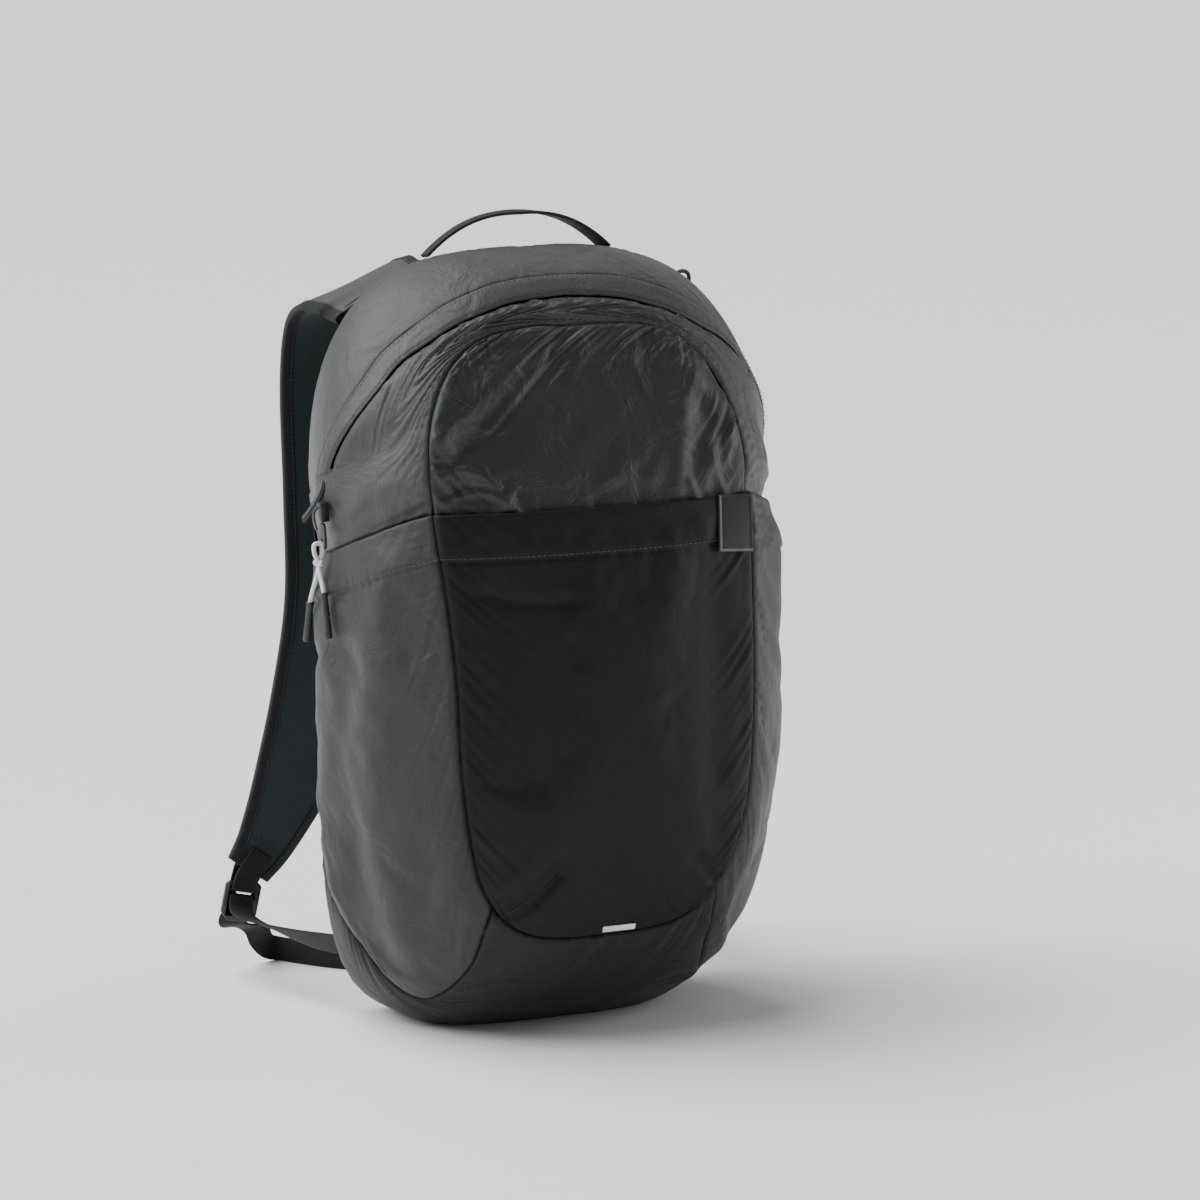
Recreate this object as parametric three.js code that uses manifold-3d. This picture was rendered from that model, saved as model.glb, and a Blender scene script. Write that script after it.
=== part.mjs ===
import * as THREE from "three";
import { mergeVertices } from "three/addons/utils/BufferGeometryUtils.js";
import Module from "manifold-3d";

// A packable daypack of thin nylon that stands upright on its base.
// Millimetres, +Z up, the front faces -Y and the wearer's side faces +Y.
// The origin is the middle of the flat base.

// The bag's body
const BAG_HEIGHT = 476;
const BAG_WIDTH = 282;
const BAG_DEPTH = 165;
const BACK_SEAM_Y = 45;
const WAIST_HEIGHT = 270;
const FRONT_CROWN = 17;
const BACK_CROWN = 6;

// Cloth and seams
const CLOTH = 1.5;
const SEAM_GAP = 0.3;
const LAYER_GAP = 1;
const FOLD_RISE = 3;

// Zip across the top
const ZIP_BAND_WIDTH = 14;
const ZIP_END_ANGLE = 164;
const BAND_RISE = 0.8;

// Pockets on the front and the sides
const POCKET_ROOM = 8;
const HEM_WIDTH = 27;
const HEM_STEP = 2;
const HEM_RISE = 0.7;

// Handle
const HANDLE_SPAN = 120;
const HANDLE_RISE = 24;
const HANDLE_WEBBING_WIDTH = 15;
const HANDLE_WEBBING_THICKNESS = 2;

// Shoulder straps and their webbing
const STRAP_WIDTH = 70;
const STRAP_THICKNESS = 7;
const STRAP_BOW = 110;
const WEBBING_WIDTH = 16;
const WEBBING_THICKNESS = 1.6;
const LOCK_WIDTH = 24;
const LOCK_THICKNESS = 3;
const LOCK_BAR = 4;
const LOCK_PLAY = 1.2;
const LOCK_LOOP = 8;
const LOCK_TURN = 22;
const LOOP_SEWN_LENGTH = 14;
const ANCHOR_ANGLE = 224;

// Label patch and reflective bar on the front
const LABEL_WIDTH = 27;
const LABEL_HEIGHT = 34;
const LABEL_THICKNESS = 1;
const LABEL_BELOW_MOUTH = 0.51;
const REFLECTIVE_BAR_LENGTH = 22;
const REFLECTIVE_BAR_HEIGHT = 4;
const BAR_THICKNESS = 0.6;

// Zip end, slider, pull and gear loop
const ZIP_TAPE_WIDTH = 6;
const ZIP_TAPE_THICKNESS = 2;
const ZIP_TAPE_LENGTH = 26;
const TAPE_BEND = 20;
const SLIDER_LENGTH = 12;
const SLIDER_WIDTH = 8;
const SLIDER_THICKNESS = 5;
const TAB_LENGTH = 16;
const TAB_WIDTH = 8;
const TAB_THICKNESS = 1.4;
const PULL_CORD_DIAMETER = 2.8;
const PULL_KNOT_DIAMETER = 8;
const FRONT_TAIL_LENGTH = 17;
const REAR_TAIL_LENGTH = 33;
const CORD_END_LENGTH = 28;
const CORD_END_DIAMETER = 5;
const GEAR_LOOP_HEIGHT = 18;
const GEAR_LOOP_WIDTH = 12;
const GEAR_LOOP_DIAMETER = 2.7;

// How finely the cloth is divided
const ROWS_BESIDE_POCKET = 13;
const ROWS_BELOW_ZIP = 2;
const ROWS_ABOVE_ZIP_END = 7;
const COLUMNS_FRONT_TO_BACK = 8;
const COLUMNS_ACROSS = 12;
const YOKE_COLUMNS = 5;
const HANDLE_STEPS = 20;
const STRAP_STEPS = 22;
const WRAP_STEPS = 6;
const LEAD_STEPS = 8;
const TAIL_STEPS = 24;
const TAPE_STEPS = 6;

const HALF_WIDTH = BAG_WIDTH / 2;
const SIDE_DEPTH = BAG_DEPTH - FRONT_CROWN;

// Outlines seen from the front, one row for each depth from the back seam (0) to the front seam (1).
// Half widths low down and at the shoulders and the lean are shares of half the bag's width,
// top and bottom are shares of its height, and the powers square the corners off.
const OUTLINES = [
  { at: 0, low: 0.908, high: 0.979, lean: 0, top: 0.987, bottom: 0, topPower: 3.3, bottomPower: 6 },
  { at: 0.25, low: 1, high: 1.035, lean: 0, top: 1, bottom: -0.006, topPower: 3.2, bottomPower: 4.7 },
  { at: 0.5, low: 1, high: 1.043, lean: 0, top: 0.996, bottom: -0.008, topPower: 3, bottomPower: 3.8 },
  { at: 0.75, low: 0.929, high: 0.95, lean: -0.007, top: 0.973, bottom: 0.033, topPower: 3, bottomPower: 3.6 },
  { at: 0.9, low: 0.809, high: 0.85, lean: -0.03, top: 0.943, bottom: 0.088, topPower: 3.2, bottomPower: 3.7 },
  { at: 1, low: 0.702, high: 0.775, lean: -0.04, top: 0.92, bottom: 0.141, topPower: 3.5, bottomPower: 3.5 },
];

// Depth from the back seam to the front seam, as a share of the side's depth, at shares of the height.
const SIDE_PROFILE = [
  { at: 0, depth: 0.8 },
  { at: 0.08, depth: 0.9 },
  { at: 0.2, depth: 0.97 },
  { at: 0.35, depth: 1 },
  { at: 0.6, depth: 0.95 },
  { at: 0.8, depth: 0.84 },
  { at: 0.92, depth: 0.72 },
  { at: 1, depth: 0.66 },
];

// Seam between the side and the bottom panel: its angle round the outline at depths from back to front.
// Angles run in degrees from the right side (0) over the top (90) to the left side (180) and below.
const BOTTOM_SEAM = [
  { at: 0, angle: 211 },
  { at: 0.28, angle: 215.5 },
  { at: 0.46, angle: 222.5 },
  { at: 0.58, angle: 231.5 },
  { at: 0.67, angle: 234.5 },
  { at: 0.87, angle: 234.2 },
  { at: 1, angle: 229 },
];

// Mouth of the side pocket, which drops from the front seam to the back.
const SIDE_HEM = [
  { at: 0, angle: 175 },
  { at: 0.41, angle: 171.4 },
  { at: 0.63, angle: 168.1 },
  { at: 0.78, angle: 165.1 },
  { at: 1, angle: 159.4 },
];

// The zip's upper edge: its depth at angles from its left end to the middle of the top.
const ZIP_LINE = [
  { at: 90, depth: 0.745 },
  { at: 105.7, depth: 0.759 },
  { at: 116.9, depth: 0.773 },
  { at: 129.1, depth: 0.737 },
  { at: 137.8, depth: 0.644 },
  { at: 142.9, depth: 0.592 },
  { at: 149.4, depth: 0.491 },
  { at: 155.6, depth: 0.387 },
  { at: 160.4, depth: 0.31 },
  { at: 164, depth: 0.22 },
];

// Folds seen on the front: ends, half width of the fold, and rise as a share of FOLD_RISE.
// x is a share of half the bag's width, z a share of its height.
const FRONT_FOLDS = [
  { x1: -0.2, z1: 0.905, x2: -0.72, z2: 0.8, width: 0.07, rise: 1.1 },
  { x1: -0.16, z1: 0.875, x2: -0.66, z2: 0.765, width: 0.07, rise: -1.1 },
  { x1: -0.7, z1: 0.775, x2: -0.46, z2: 0.715, width: 0.055, rise: 0.9 },
  { x1: -0.62, z1: 0.735, x2: -0.42, z2: 0.725, width: 0.05, rise: -0.8 },
  { x1: 0.4, z1: 0.8, x2: 0.34, z2: 0.72, width: 0.05, rise: 0.8 },
  { x1: 0.56, z1: 0.79, x2: 0.48, z2: 0.72, width: 0.045, rise: 0.8 },
  { x1: 0.48, z1: 0.88, x2: 0.62, z2: 0.84, width: 0.045, rise: -0.6 },
  { x1: -0.02, z1: 0.9, x2: -0.1, z2: 0.87, width: 0.05, rise: 0.5 },
  { x1: 0.22, z1: 0.9, x2: 0.2, z2: 0.87, width: 0.05, rise: 0.5 },
  { x1: -0.56, z1: 0.19, x2: -0.26, z2: 0.245, width: 0.05, rise: -0.9 },
  { x1: -0.5, z1: 0.22, x2: -0.3, z2: 0.28, width: 0.06, rise: 0.5 },
  { x1: -0.5, z1: 0.6, x2: -0.38, z2: 0.35, width: 0.09, rise: -0.6 },
  { x1: 0.5, z1: 0.6, x2: 0.46, z2: 0.3, width: 0.09, rise: -0.6 },
];

// Folds on both sides: y is a share of the side's depth from the back seam, z a share of the height.
const SIDE_FOLDS = [
  { y1: 0.72, z1: 0.62, y2: 0.66, z2: 0.14, width: 0.09, rise: 0.9 },
  { y1: 0.5, z1: 0.6, y2: 0.5, z2: 0.12, width: 0.09, rise: -0.8 },
  { y1: 0.28, z1: 0.55, y2: 0.32, z2: 0.2, width: 0.1, rise: 0.8 },
  { y1: 0.1, z1: 0.63, y2: 0.95, z2: 0.69, width: 0.12, rise: -1.3 },
  { y1: 0.3, z1: 0.72, y2: 0.62, z2: 0.84, width: 0.08, rise: 0.8 },
  { y1: 0.45, z1: 0.7, y2: 0.7, z2: 0.79, width: 0.07, rise: -0.8 },
];

// Soft slumps across the top, between the zip and the front seam: x and y as above.
const TOP_FOLDS = [
  { x1: -0.6, y1: 0.86, x2: 0.6, y2: 0.86, width: 0.09, rise: -1 },
  { x1: -0.5, y1: 0.3, x2: 0.5, y2: 0.35, width: 0.2, rise: -0.8 },
];

// Middle line of a shoulder strap, from the back seam down to its tip: x is a share of half the bag's
// width, out a share of STRAP_BOW behind the seam, z a share of the height, width a share of STRAP_WIDTH,
// tilt the slope of its cross section in degrees.
const STRAP_LINE = [
  { at: 0, x: 0.6, out: 0.0125, z: 0.941, width: 0.94, tilt: 30 },
  { at: 0.02, x: 0.6, out: 0.1, z: 0.941, width: 0.95, tilt: 29 },
  { at: 0.05, x: 0.61, out: 0.2, z: 0.945, width: 1, tilt: 25 },
  { at: 0.1, x: 0.625, out: 0.38, z: 0.935, width: 1.03, tilt: 21 },
  { at: 0.16, x: 0.63, out: 0.53, z: 0.895, width: 1.02, tilt: 10 },
  { at: 0.26, x: 0.63, out: 0.62, z: 0.81, width: 1, tilt: 2 },
  { at: 0.42, x: 0.612, out: 0.67, z: 0.665, width: 0.97, tilt: 0 },
  { at: 0.58, x: 0.6, out: 0.72, z: 0.52, width: 0.95, tilt: 0 },
  { at: 0.73, x: 0.65, out: 0.81, z: 0.39, width: 0.9, tilt: -6 },
  { at: 0.86, x: 0.745, out: 0.91, z: 0.27, width: 0.76, tilt: -16 },
  { at: 0.95, x: 0.865, out: 0.96, z: 0.185, width: 0.56, tilt: -22 },
  { at: 1, x: 0.955, out: 0.975, z: 0.145, width: 0.44, tilt: -24 },
];

// Middle line of the webbing's tail, from below the ladder lock to the floor, where it stands on its
// edge: x and out as above, and z is a share of the webbing's width above its lowest place.
const TAIL_LINE = [
  { x: 0.875, out: 1.12, z: 1.1 },
  { x: 0.83, out: 1.19, z: 0.55 },
  { x: 0.78, out: 1.235, z: 0.12 },
  { x: 0.735, out: 1.235, z: 0 },
  { x: 0.665, out: 1.1, z: 0 },
  { x: 0.585, out: 0.96, z: 0 },
  { x: 0.49, out: 0.83, z: 0 },
  { x: 0.41, out: 0.72, z: 0 },
];

const lerp = (a, b, t) => a + (b - a) * t;
const clamp01 = (t) => Math.min(Math.max(t, 0), 1);
const radians = (degrees) => (degrees * Math.PI) / 180;

function smooth(from, to, value) {
  const t = clamp01((value - from) / (to - from));
  return t * t * (3 - 2 * t);
}

// One column of a table at a place along it, on a smooth curve through the rows.
function read(table, column, at) {
  const last = table.length - 1;
  if (at <= table[0].at) return table[0][column];
  if (at >= table[last].at) return table[last][column];
  let i = 0;
  while (table[i + 1].at < at) i += 1;
  const slope = (k) => {
    const before = table[Math.max(k - 1, 0)];
    const after = table[Math.min(k + 1, last)];
    return (after[column] - before[column]) / (after.at - before.at);
  };
  const span = table[i + 1].at - table[i].at;
  const t = (at - table[i].at) / span;
  const t2 = t * t;
  const t3 = t2 * t;
  const ends = (2 * t3 - 3 * t2 + 1) * table[i][column] + (3 * t2 - 2 * t3) * table[i + 1][column];
  return ends + span * ((t3 - 2 * t2 + t) * slope(i) + (t3 - t2) * slope(i + 1));
}

// Depth of the side seam plane at a height, in millimetres from the back seam.
const depthAt = (z) => SIDE_DEPTH * read(SIDE_PROFILE, "depth", clamp01(z / BAG_HEIGHT));

// Point of the outline at an angle and a depth. reach is 1 on the outline and 0 at the middle.
function outlinePoint(angle, depth, reach = 1) {
  const c = Math.cos(radians(angle));
  const s = Math.sin(radians(angle));
  const above = s > 0;
  const power = read(OUTLINES, above ? "topPower" : "bottomPower", depth);
  const tall = above
    ? read(OUTLINES, "top", depth) * BAG_HEIGHT - WAIST_HEIGHT
    : WAIST_HEIGHT - read(OUTLINES, "bottom", depth) * BAG_HEIGHT;
  const radius = reach * (Math.abs(c) ** power + Math.abs(s) ** power) ** (-1 / power);
  const z = Math.max(WAIST_HEIGHT + radius * s * tall, 0);
  const shoulder = smooth(0.45, 0.85, z / BAG_HEIGHT);
  const wide = lerp(read(OUTLINES, "low", depth), read(OUTLINES, "high", depth), shoulder);
  const x = HALF_WIDTH * (radius * c * wide + read(OUTLINES, "lean", depth) * shoulder);
  return { x, z };
}

// Point on the bag's surface before folds: depth 0 to 1 runs along the sides, reach below 1 goes in
// over the front panel (depth 1) or the back panel (depth 0).
function basePoint(angle, depth, reach = 1) {
  const { x, z } = outlinePoint(angle, depth, reach);
  const bulge = 1 - Math.abs(reach) ** 2.2;
  const crown = depth > 0.5 ? -FRONT_CROWN * bulge : BACK_CROWN * bulge;
  const y = BACK_SEAM_Y - depth * depthAt(z) + (reach < 1 ? crown : 0);
  return new THREE.Vector3(x, y, z);
}

// Outward direction on the side, or on a panel when reach is below 1.
function faceNormal(angle, depth, reach, onPanel) {
  const turn = 1.5;
  const step = 0.02;
  const round = basePoint(angle + turn, depth, reach).sub(basePoint(angle - turn, depth, reach));
  const inner = onPanel ? Math.max(reach - step, 0.01) : Math.max(depth - step, 0);
  const outer = onPanel ? Math.min(reach + step, 1) : Math.min(depth + step, 1);
  const across = onPanel
    ? basePoint(angle, depth, inner).sub(basePoint(angle, depth, outer))
    : basePoint(angle, outer, 1).sub(basePoint(angle, inner, 1));
  const normal = round.cross(across);
  if (onPanel && depth < 0.5) normal.negate();
  return normal.normalize();
}

// Outward direction at any point, halfway between both faces along the front and back seams.
function normalAt(angle, depth, reach = 1) {
  if (reach < 0.999) return faceNormal(angle, depth, reach, true);
  const side = faceNormal(angle, depth, 1, false);
  if (depth > 0.001 && depth < 0.999) return side;
  return side.add(faceNormal(angle, depth, 1, true)).normalize();
}

// How far a set of folds lifts the cloth at a place in the plane that the folds are drawn in.
function liftOf(folds, a, b, scaleA, scaleB, keyA, keyB) {
  let lift = 0;
  for (const fold of folds) {
    const a1 = fold[keyA + "1"] * scaleA;
    const b1 = fold[keyB + "1"] * scaleB;
    const da = fold[keyA + "2"] * scaleA - a1;
    const db = fold[keyB + "2"] * scaleB - b1;
    const along = clamp01(((a - a1) * da + (b - b1) * db) / (da * da + db * db));
    const distance = Math.hypot(a - a1 - along * da, b - b1 - along * db);
    lift += fold.rise * FOLD_RISE * Math.exp(-((distance / (fold.width * HALF_WIDTH)) ** 2));
  }
  return lift;
}

function foldLift(point, normal) {
  if (point.z < 3) return 0;
  const front = normal.y < 0 ? normal.y ** 2 : 0;
  const back = BACK_SEAM_Y - point.y;
  return (
    front * liftOf(FRONT_FOLDS, point.x, point.z, HALF_WIDTH, BAG_HEIGHT, "x", "z") +
    normal.x ** 2 * liftOf(SIDE_FOLDS, back, point.z, SIDE_DEPTH, BAG_HEIGHT, "y", "z") +
    (normal.z > 0 ? normal.z ** 2 : 0) *
      liftOf(TOP_FOLDS, point.x, back, HALF_WIDTH, SIDE_DEPTH, "x", "y")
  );
}

// A place on the cloth: its point and outward direction, set in by a depth below the surface.
function clothAt({ angle, depth, reach = 1 }, setIn = 0) {
  const normal = normalAt(angle, depth, reach);
  const point = basePoint(angle, depth, reach);
  point.addScaledVector(normal, foldLift(point, normal) - setIn);
  return { point, normal };
}

// The material of each kind of piece
const nylonGrey = new THREE.MeshStandardMaterial({ color: 0x3a3d40, roughness: 0.62 });
const nylonDark = new THREE.MeshStandardMaterial({ color: 0x1d1f22, roughness: 0.66 });
const meshCloth = new THREE.MeshStandardMaterial({ color: 0x22282c, roughness: 0.85 });
const webbing = new THREE.MeshStandardMaterial({ color: 0x1b1d20, roughness: 0.75 });
const plastic = new THREE.MeshStandardMaterial({ color: 0x2b2f33, roughness: 0.45 });
const reflective = new THREE.MeshStandardMaterial({ color: 0xd8dadb, roughness: 0.4 });
const metal = new THREE.MeshStandardMaterial({ color: 0x9a9da0, roughness: 0.35, metalness: 0.9 });

const bag = new THREE.Group();

function addPiece(name, geometry, material) {
  const piece = new THREE.Mesh(geometry, material.clone());
  piece.name = name;
  bag.add(piece);
  return piece;
}

// Closed body from vertices and triangles, turned so that its faces point outwards.
function closedBody(points, triangles) {
  let volume = 0;
  for (const [a, b, c] of triangles) {
    volume += points[a].dot(new THREE.Vector3().crossVectors(points[b], points[c]));
  }
  const order = volume < 0 ? triangles.map(([a, b, c]) => [a, c, b]) : triangles;
  const geometry = new THREE.BufferGeometry().setFromPoints(points);
  geometry.setIndex(order.flat());
  return geometry;
}

// A wall of cloth over a grid of places. Its edges draw in by half a seam gap, and its inner face lies
// a thickness below its outer face.
function clothWall(grid, thicknessAt = () => CLOTH) {
  const rows = grid.length;
  const columns = grid[0].length;
  const outer = grid.map((row) => row.map((place) => place.point.clone()));
  const pull = (i, j, k, l) => {
    const towards = grid[k][l].point.clone().sub(grid[i][j].point).setLength(SEAM_GAP / 2);
    outer[i][j].add(towards);
  };
  for (let j = 0; j < columns; j += 1) {
    pull(0, j, 1, j);
    pull(rows - 1, j, rows - 2, j);
  }
  for (let i = 0; i < rows; i += 1) {
    pull(i, 0, i, 1);
    pull(i, columns - 1, i, columns - 2);
  }
  const points = [];
  for (let i = 0; i < rows; i += 1) {
    for (let j = 0; j < columns; j += 1) points.push(outer[i][j]);
  }
  for (let i = 0; i < rows; i += 1) {
    for (let j = 0; j < columns; j += 1) {
      const { normal } = grid[i][j];
      points.push(outer[i][j].clone().addScaledVector(normal, -thicknessAt(i, j)));
    }
  }
  const count = rows * columns;
  const triangles = [];
  const quad = (a, b, c, d) => {
    triangles.push([a, b, c], [a, c, d]);
  };
  const at = (i, j) => i * columns + j;
  for (let i = 0; i < rows - 1; i += 1) {
    for (let j = 0; j < columns - 1; j += 1) {
      quad(at(i, j), at(i, j + 1), at(i + 1, j + 1), at(i + 1, j));
      quad(count + at(i, j), count + at(i + 1, j), count + at(i + 1, j + 1), count + at(i, j + 1));
    }
  }
  const rim = [];
  for (let j = 0; j < columns - 1; j += 1) rim.push(at(0, j));
  for (let i = 0; i < rows - 1; i += 1) rim.push(at(i, columns - 1));
  for (let j = columns - 1; j > 0; j -= 1) rim.push(at(rows - 1, j));
  for (let i = rows - 1; i > 0; i -= 1) rim.push(at(i, 0));
  rim.forEach((a, k) => {
    const b = rim[(k + 1) % rim.length];
    quad(b, a, count + a, count + b);
  });
  return closedBody(points, triangles);
}

// Lines that the cloth is divided by. Row 0 lies on the bottom seam, row ROWS_BESIDE_POCKET on the
// hem, and zipRow where the zip ends.
const zipRow = ROWS_BESIDE_POCKET + ROWS_BELOW_ZIP;
const zipColumns = COLUMNS_ACROSS + 2 * ROWS_ABOVE_ZIP_END - 1;
const bandShare = ZIP_BAND_WIDTH / (SIDE_DEPTH * 0.8);
const zipStep = (2 * ZIP_END_ANGLE - 180) / (zipColumns + 1);
const frontZipAngle = lerp(read(SIDE_HEM, "angle", 1), 90, 0.1);
const frontStep = (2 * frontZipAngle - 180) / (zipColumns + 1);

// Angle of a row beside the pocket, and up to the zip's end, at a depth. The last two rows below the
// mouth lie on both sides of the hem's stitched edge.
const degreesFor = (length) => ((length / (BAG_HEIGHT - WAIST_HEIGHT)) * 180) / Math.PI;
function sideAngle(row, depth) {
  const hem = read(SIDE_HEM, "angle", depth);
  if (row === ROWS_BESIDE_POCKET) return hem;
  if (row === ROWS_BESIDE_POCKET - 1) return hem + degreesFor(HEM_WIDTH);
  if (row < ROWS_BESIDE_POCKET - 1) {
    const below = hem + degreesFor(HEM_WIDTH + HEM_STEP);
    return lerp(read(BOTTOM_SEAM, "angle", depth), below, row / (ROWS_BESIDE_POCKET - 2));
  }
  const above = lerp(ZIP_END_ANGLE, frontZipAngle, depth ** 2);
  return lerp(hem, above, (row - ROWS_BESIDE_POCKET) / ROWS_BELOW_ZIP);
}

const zipAngle = (k) => ZIP_END_ANGLE - k * zipStep;
const zipDepth = (k) => read(ZIP_LINE, "depth", 90 + Math.abs(zipAngle(k) - 90));

// Place in row and column of the gusset: left side up, over the top behind the front seam, right side down.
const lastRow = 2 * zipRow + zipColumns + 1;
function gussetPlace(row, column) {
  const v = column / COLUMNS_FRONT_TO_BACK;
  if (row > lastRow - zipRow - 1) {
    const twin = gussetPlace(lastRow - row, column);
    return { angle: 180 - twin.angle, depth: twin.depth };
  }
  if (row <= zipRow) return { angle: sideAngle(row, v), depth: v };
  const k = row - zipRow;
  const back = zipDepth(k) + bandShare;
  return {
    angle: lerp(zipAngle(k), frontZipAngle - k * frontStep, v),
    depth: lerp(back, 1, v),
  };
}

// Angle of each row where it meets the front seam and where it meets the back seam.
const frontAngle = (row) => gussetPlace(row, COLUMNS_FRONT_TO_BACK).angle;
const backRows = lastRow - 2;
function backAngle(row) {
  if (row <= zipRow) return gussetPlace(row, 0).angle;
  if (row >= backRows - zipRow) return 180 - backAngle(backRows - row);
  return zipAngle(row - zipRow + 1);
}

// How far the inner layer lies below the surface: nothing above the hem, room for the pocket below it.
function pocketSetIn(rowsAboveHem, across) {
  const tucked = CLOTH + HEM_RISE + LAYER_GAP;
  if (rowsAboveHem > 0) return tucked * (1 - smooth(0, ROWS_BELOW_ZIP, rowsAboveHem));
  const room = POCKET_ROOM * Math.sin(Math.PI * clamp01(across)) ** 0.5;
  return tucked + room * smooth(0, 4, ROWS_BESIDE_POCKET + rowsAboveHem);
}

function makeGrid(rowCount, columnCount, placeAt) {
  const grid = [];
  for (let i = 0; i <= rowCount; i += 1) {
    const row = [];
    for (let j = 0; j <= columnCount; j += 1) row.push(placeAt(i, j));
    grid.push(row);
  }
  return grid;
}

// Place on the front or back panel from a point of the unit outline.
function panelPlace(u, w, depth) {
  const angle = (Math.atan2(w, u) * 180) / Math.PI;
  const power = read(OUTLINES, w > 0 ? "topPower" : "bottomPower", depth);
  const reach = (Math.abs(u) ** power + Math.abs(w) ** power) ** (1 / power);
  return { angle: angle < -90 ? angle + 360 : angle, depth, reach: reach > 0.9995 ? 1 : reach };
}

// Point of the unit outline at an angle.
function unitPoint(angle, depth) {
  const c = Math.cos(radians(angle));
  const s = Math.sin(radians(angle));
  const power = read(OUTLINES, s > 0 ? "topPower" : "bottomPower", depth);
  const radius = (Math.abs(c) ** power + Math.abs(s) ** power) ** (-1 / power);
  return new THREE.Vector2(radius * c, radius * s);
}

// Four-sided patch of the unit outline between a left, right, lower and upper edge.
function patchPoint(left, right, lower, upper, i, j) {
  const rows = left.length - 1;
  const columns = lower.length - 1;
  const v = i / rows;
  const u = j / columns;
  const blend = (key) =>
    lerp(left[i][key], right[i][key], u) +
    lerp(lower[j][key], upper[j][key], v) -
    lerp(lerp(lower[0][key], lower[columns][key], u), lerp(upper[0][key], upper[columns][key], u), v);
  return [blend("x"), blend("y")];
}

const angles = (count, angleAt) => Array.from({ length: count + 1 }, (_, k) => angleAt(k));
const bottomAngle = (depth, j) => {
  const seam = read(BOTTOM_SEAM, "angle", depth);
  return lerp(seam, 540 - seam, j / COLUMNS_ACROSS);
};

// Panel patch whose left edge follows the rows from the bottom seam up to topRow.
function panelPatch(depth, topRow, angleOfRow, upperEdge) {
  const on = (angle) => unitPoint(angle, depth);
  const left = angles(topRow, (row) => on(angleOfRow(row)));
  const right = angles(topRow, (row) => on(180 - angleOfRow(row)));
  const lower = angles(COLUMNS_ACROSS, (j) => on(bottomAngle(depth, j)));
  const upper = upperEdge(left[topRow], right[topRow]);
  return (i, j) => panelPlace(...patchPoint(left, right, lower, upper, i, j), depth);
}

const frontCorner = zipRow + ROWS_ABOVE_ZIP_END;
const backCorner = frontCorner - 1;
const overTop = (depth, angleOfRow, corner) => () =>
  angles(COLUMNS_ACROSS, (j) => unitPoint(angleOfRow(corner + j), depth));
const straightAcross = (a, b) => angles(COLUMNS_ACROSS, (j) => a.clone().lerp(b, j / COLUMNS_ACROSS));

// Back panel, against the wearer's back
const backPatch = panelPatch(0, backCorner, backAngle, overTop(0, backAngle, backCorner));
const backGrid = makeGrid(backCorner, COLUMNS_ACROSS, (i, j) => clothAt(backPatch(i, j)));
addPiece("back_panel", clothWall(backGrid), nylonDark);

// Gusset: both sides and the top in front of the zip, one length of cloth
addPiece(
  "gusset",
  clothWall(
    makeGrid(lastRow, COLUMNS_FRONT_TO_BACK, (i, j) => {
      const fromHem = Math.min(i, lastRow - i) - ROWS_BESIDE_POCKET;
      return clothAt(gussetPlace(i, j), pocketSetIn(fromHem, j / COLUMNS_FRONT_TO_BACK));
    }),
  ),
  nylonGrey,
);

// Yoke: the top between the back seam and the zip. Band: the flap that covers the zip.
// Both end on the straight edge that the gusset has between the back seam and the zip.
const zipEdge = (k) => ({ angle: zipAngle(k), depth: zipDepth(k) + bandShare });
const yokeShare = (k) => zipDepth(k) / (zipDepth(k) + bandShare);
function topPlace(k, share, rise) {
  const outside = zipEdge(k);
  if (k > 1 && k < zipColumns) {
    return clothAt({ angle: outside.angle, depth: outside.depth * share }, -rise);
  }
  const seamAngle = k === 1 ? ZIP_END_ANGLE : 180 - ZIP_END_ANGLE;
  const seam = clothAt({ angle: seamAngle, depth: 0 });
  const zip = clothAt(outside);
  const point = seam.point.lerp(zip.point, share).add(new THREE.Vector3(0, 0, 2 * SEAM_GAP));
  return { point, normal: seam.normal.lerp(zip.normal, share).normalize() };
}
addPiece(
  "yoke",
  clothWall(
    makeGrid(zipColumns - 1, YOKE_COLUMNS, (i, j) =>
      topPlace(i + 1, (yokeShare(i + 1) * j) / YOKE_COLUMNS, 0),
    ),
  ),
  nylonGrey,
);
addPiece(
  "zip_band",
  clothWall(
    makeGrid(zipColumns - 1, 2, (i, j) =>
      topPlace(i + 1, lerp(yokeShare(i + 1), 1, j / 2), j === 1 ? BAND_RISE : 0),
    ),
  ),
  nylonGrey,
);

// Front panel, whole from the bottom seam to the arch, and the pocket sewn over its lower part
const hemRow = ROWS_BESIDE_POCKET;
const frontPatch = panelPatch(1, frontCorner, frontAngle, overTop(1, frontAngle, frontCorner));
addPiece(
  "front_panel",
  clothWall(
    makeGrid(frontCorner, COLUMNS_ACROSS, (i, j) =>
      clothAt(frontPatch(i, j), pocketSetIn(i - hemRow, j / COLUMNS_ACROSS)),
    ),
  ),
  nylonDark,
);
const hemLift = (row) => (row > hemRow - 2 ? HEM_RISE : 0);
const pocketPatch = panelPatch(1, hemRow, frontAngle, straightAcross);
addPiece(
  "front_pocket",
  clothWall(
    makeGrid(hemRow, COLUMNS_ACROSS, (i, j) => clothAt(pocketPatch(i, j), -hemLift(i))),
    (i) => CLOTH + hemLift(i),
  ),
  nylonDark,
);

// Side pockets, each with its hem across the mouth
for (const side of ["left", "right"]) {
  const gussetRow = (i) => (side === "left" ? i : lastRow - hemRow + i);
  const lift = (i) => hemLift(side === "left" ? i : hemRow - i);
  const grid = makeGrid(hemRow, COLUMNS_FRONT_TO_BACK, (i, j) =>
    clothAt(gussetPlace(gussetRow(i), j), -lift(i)),
  );
  addPiece("side_pocket_" + side, clothWall(grid, (i) => CLOTH + lift(i)), nylonGrey);
}

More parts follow.
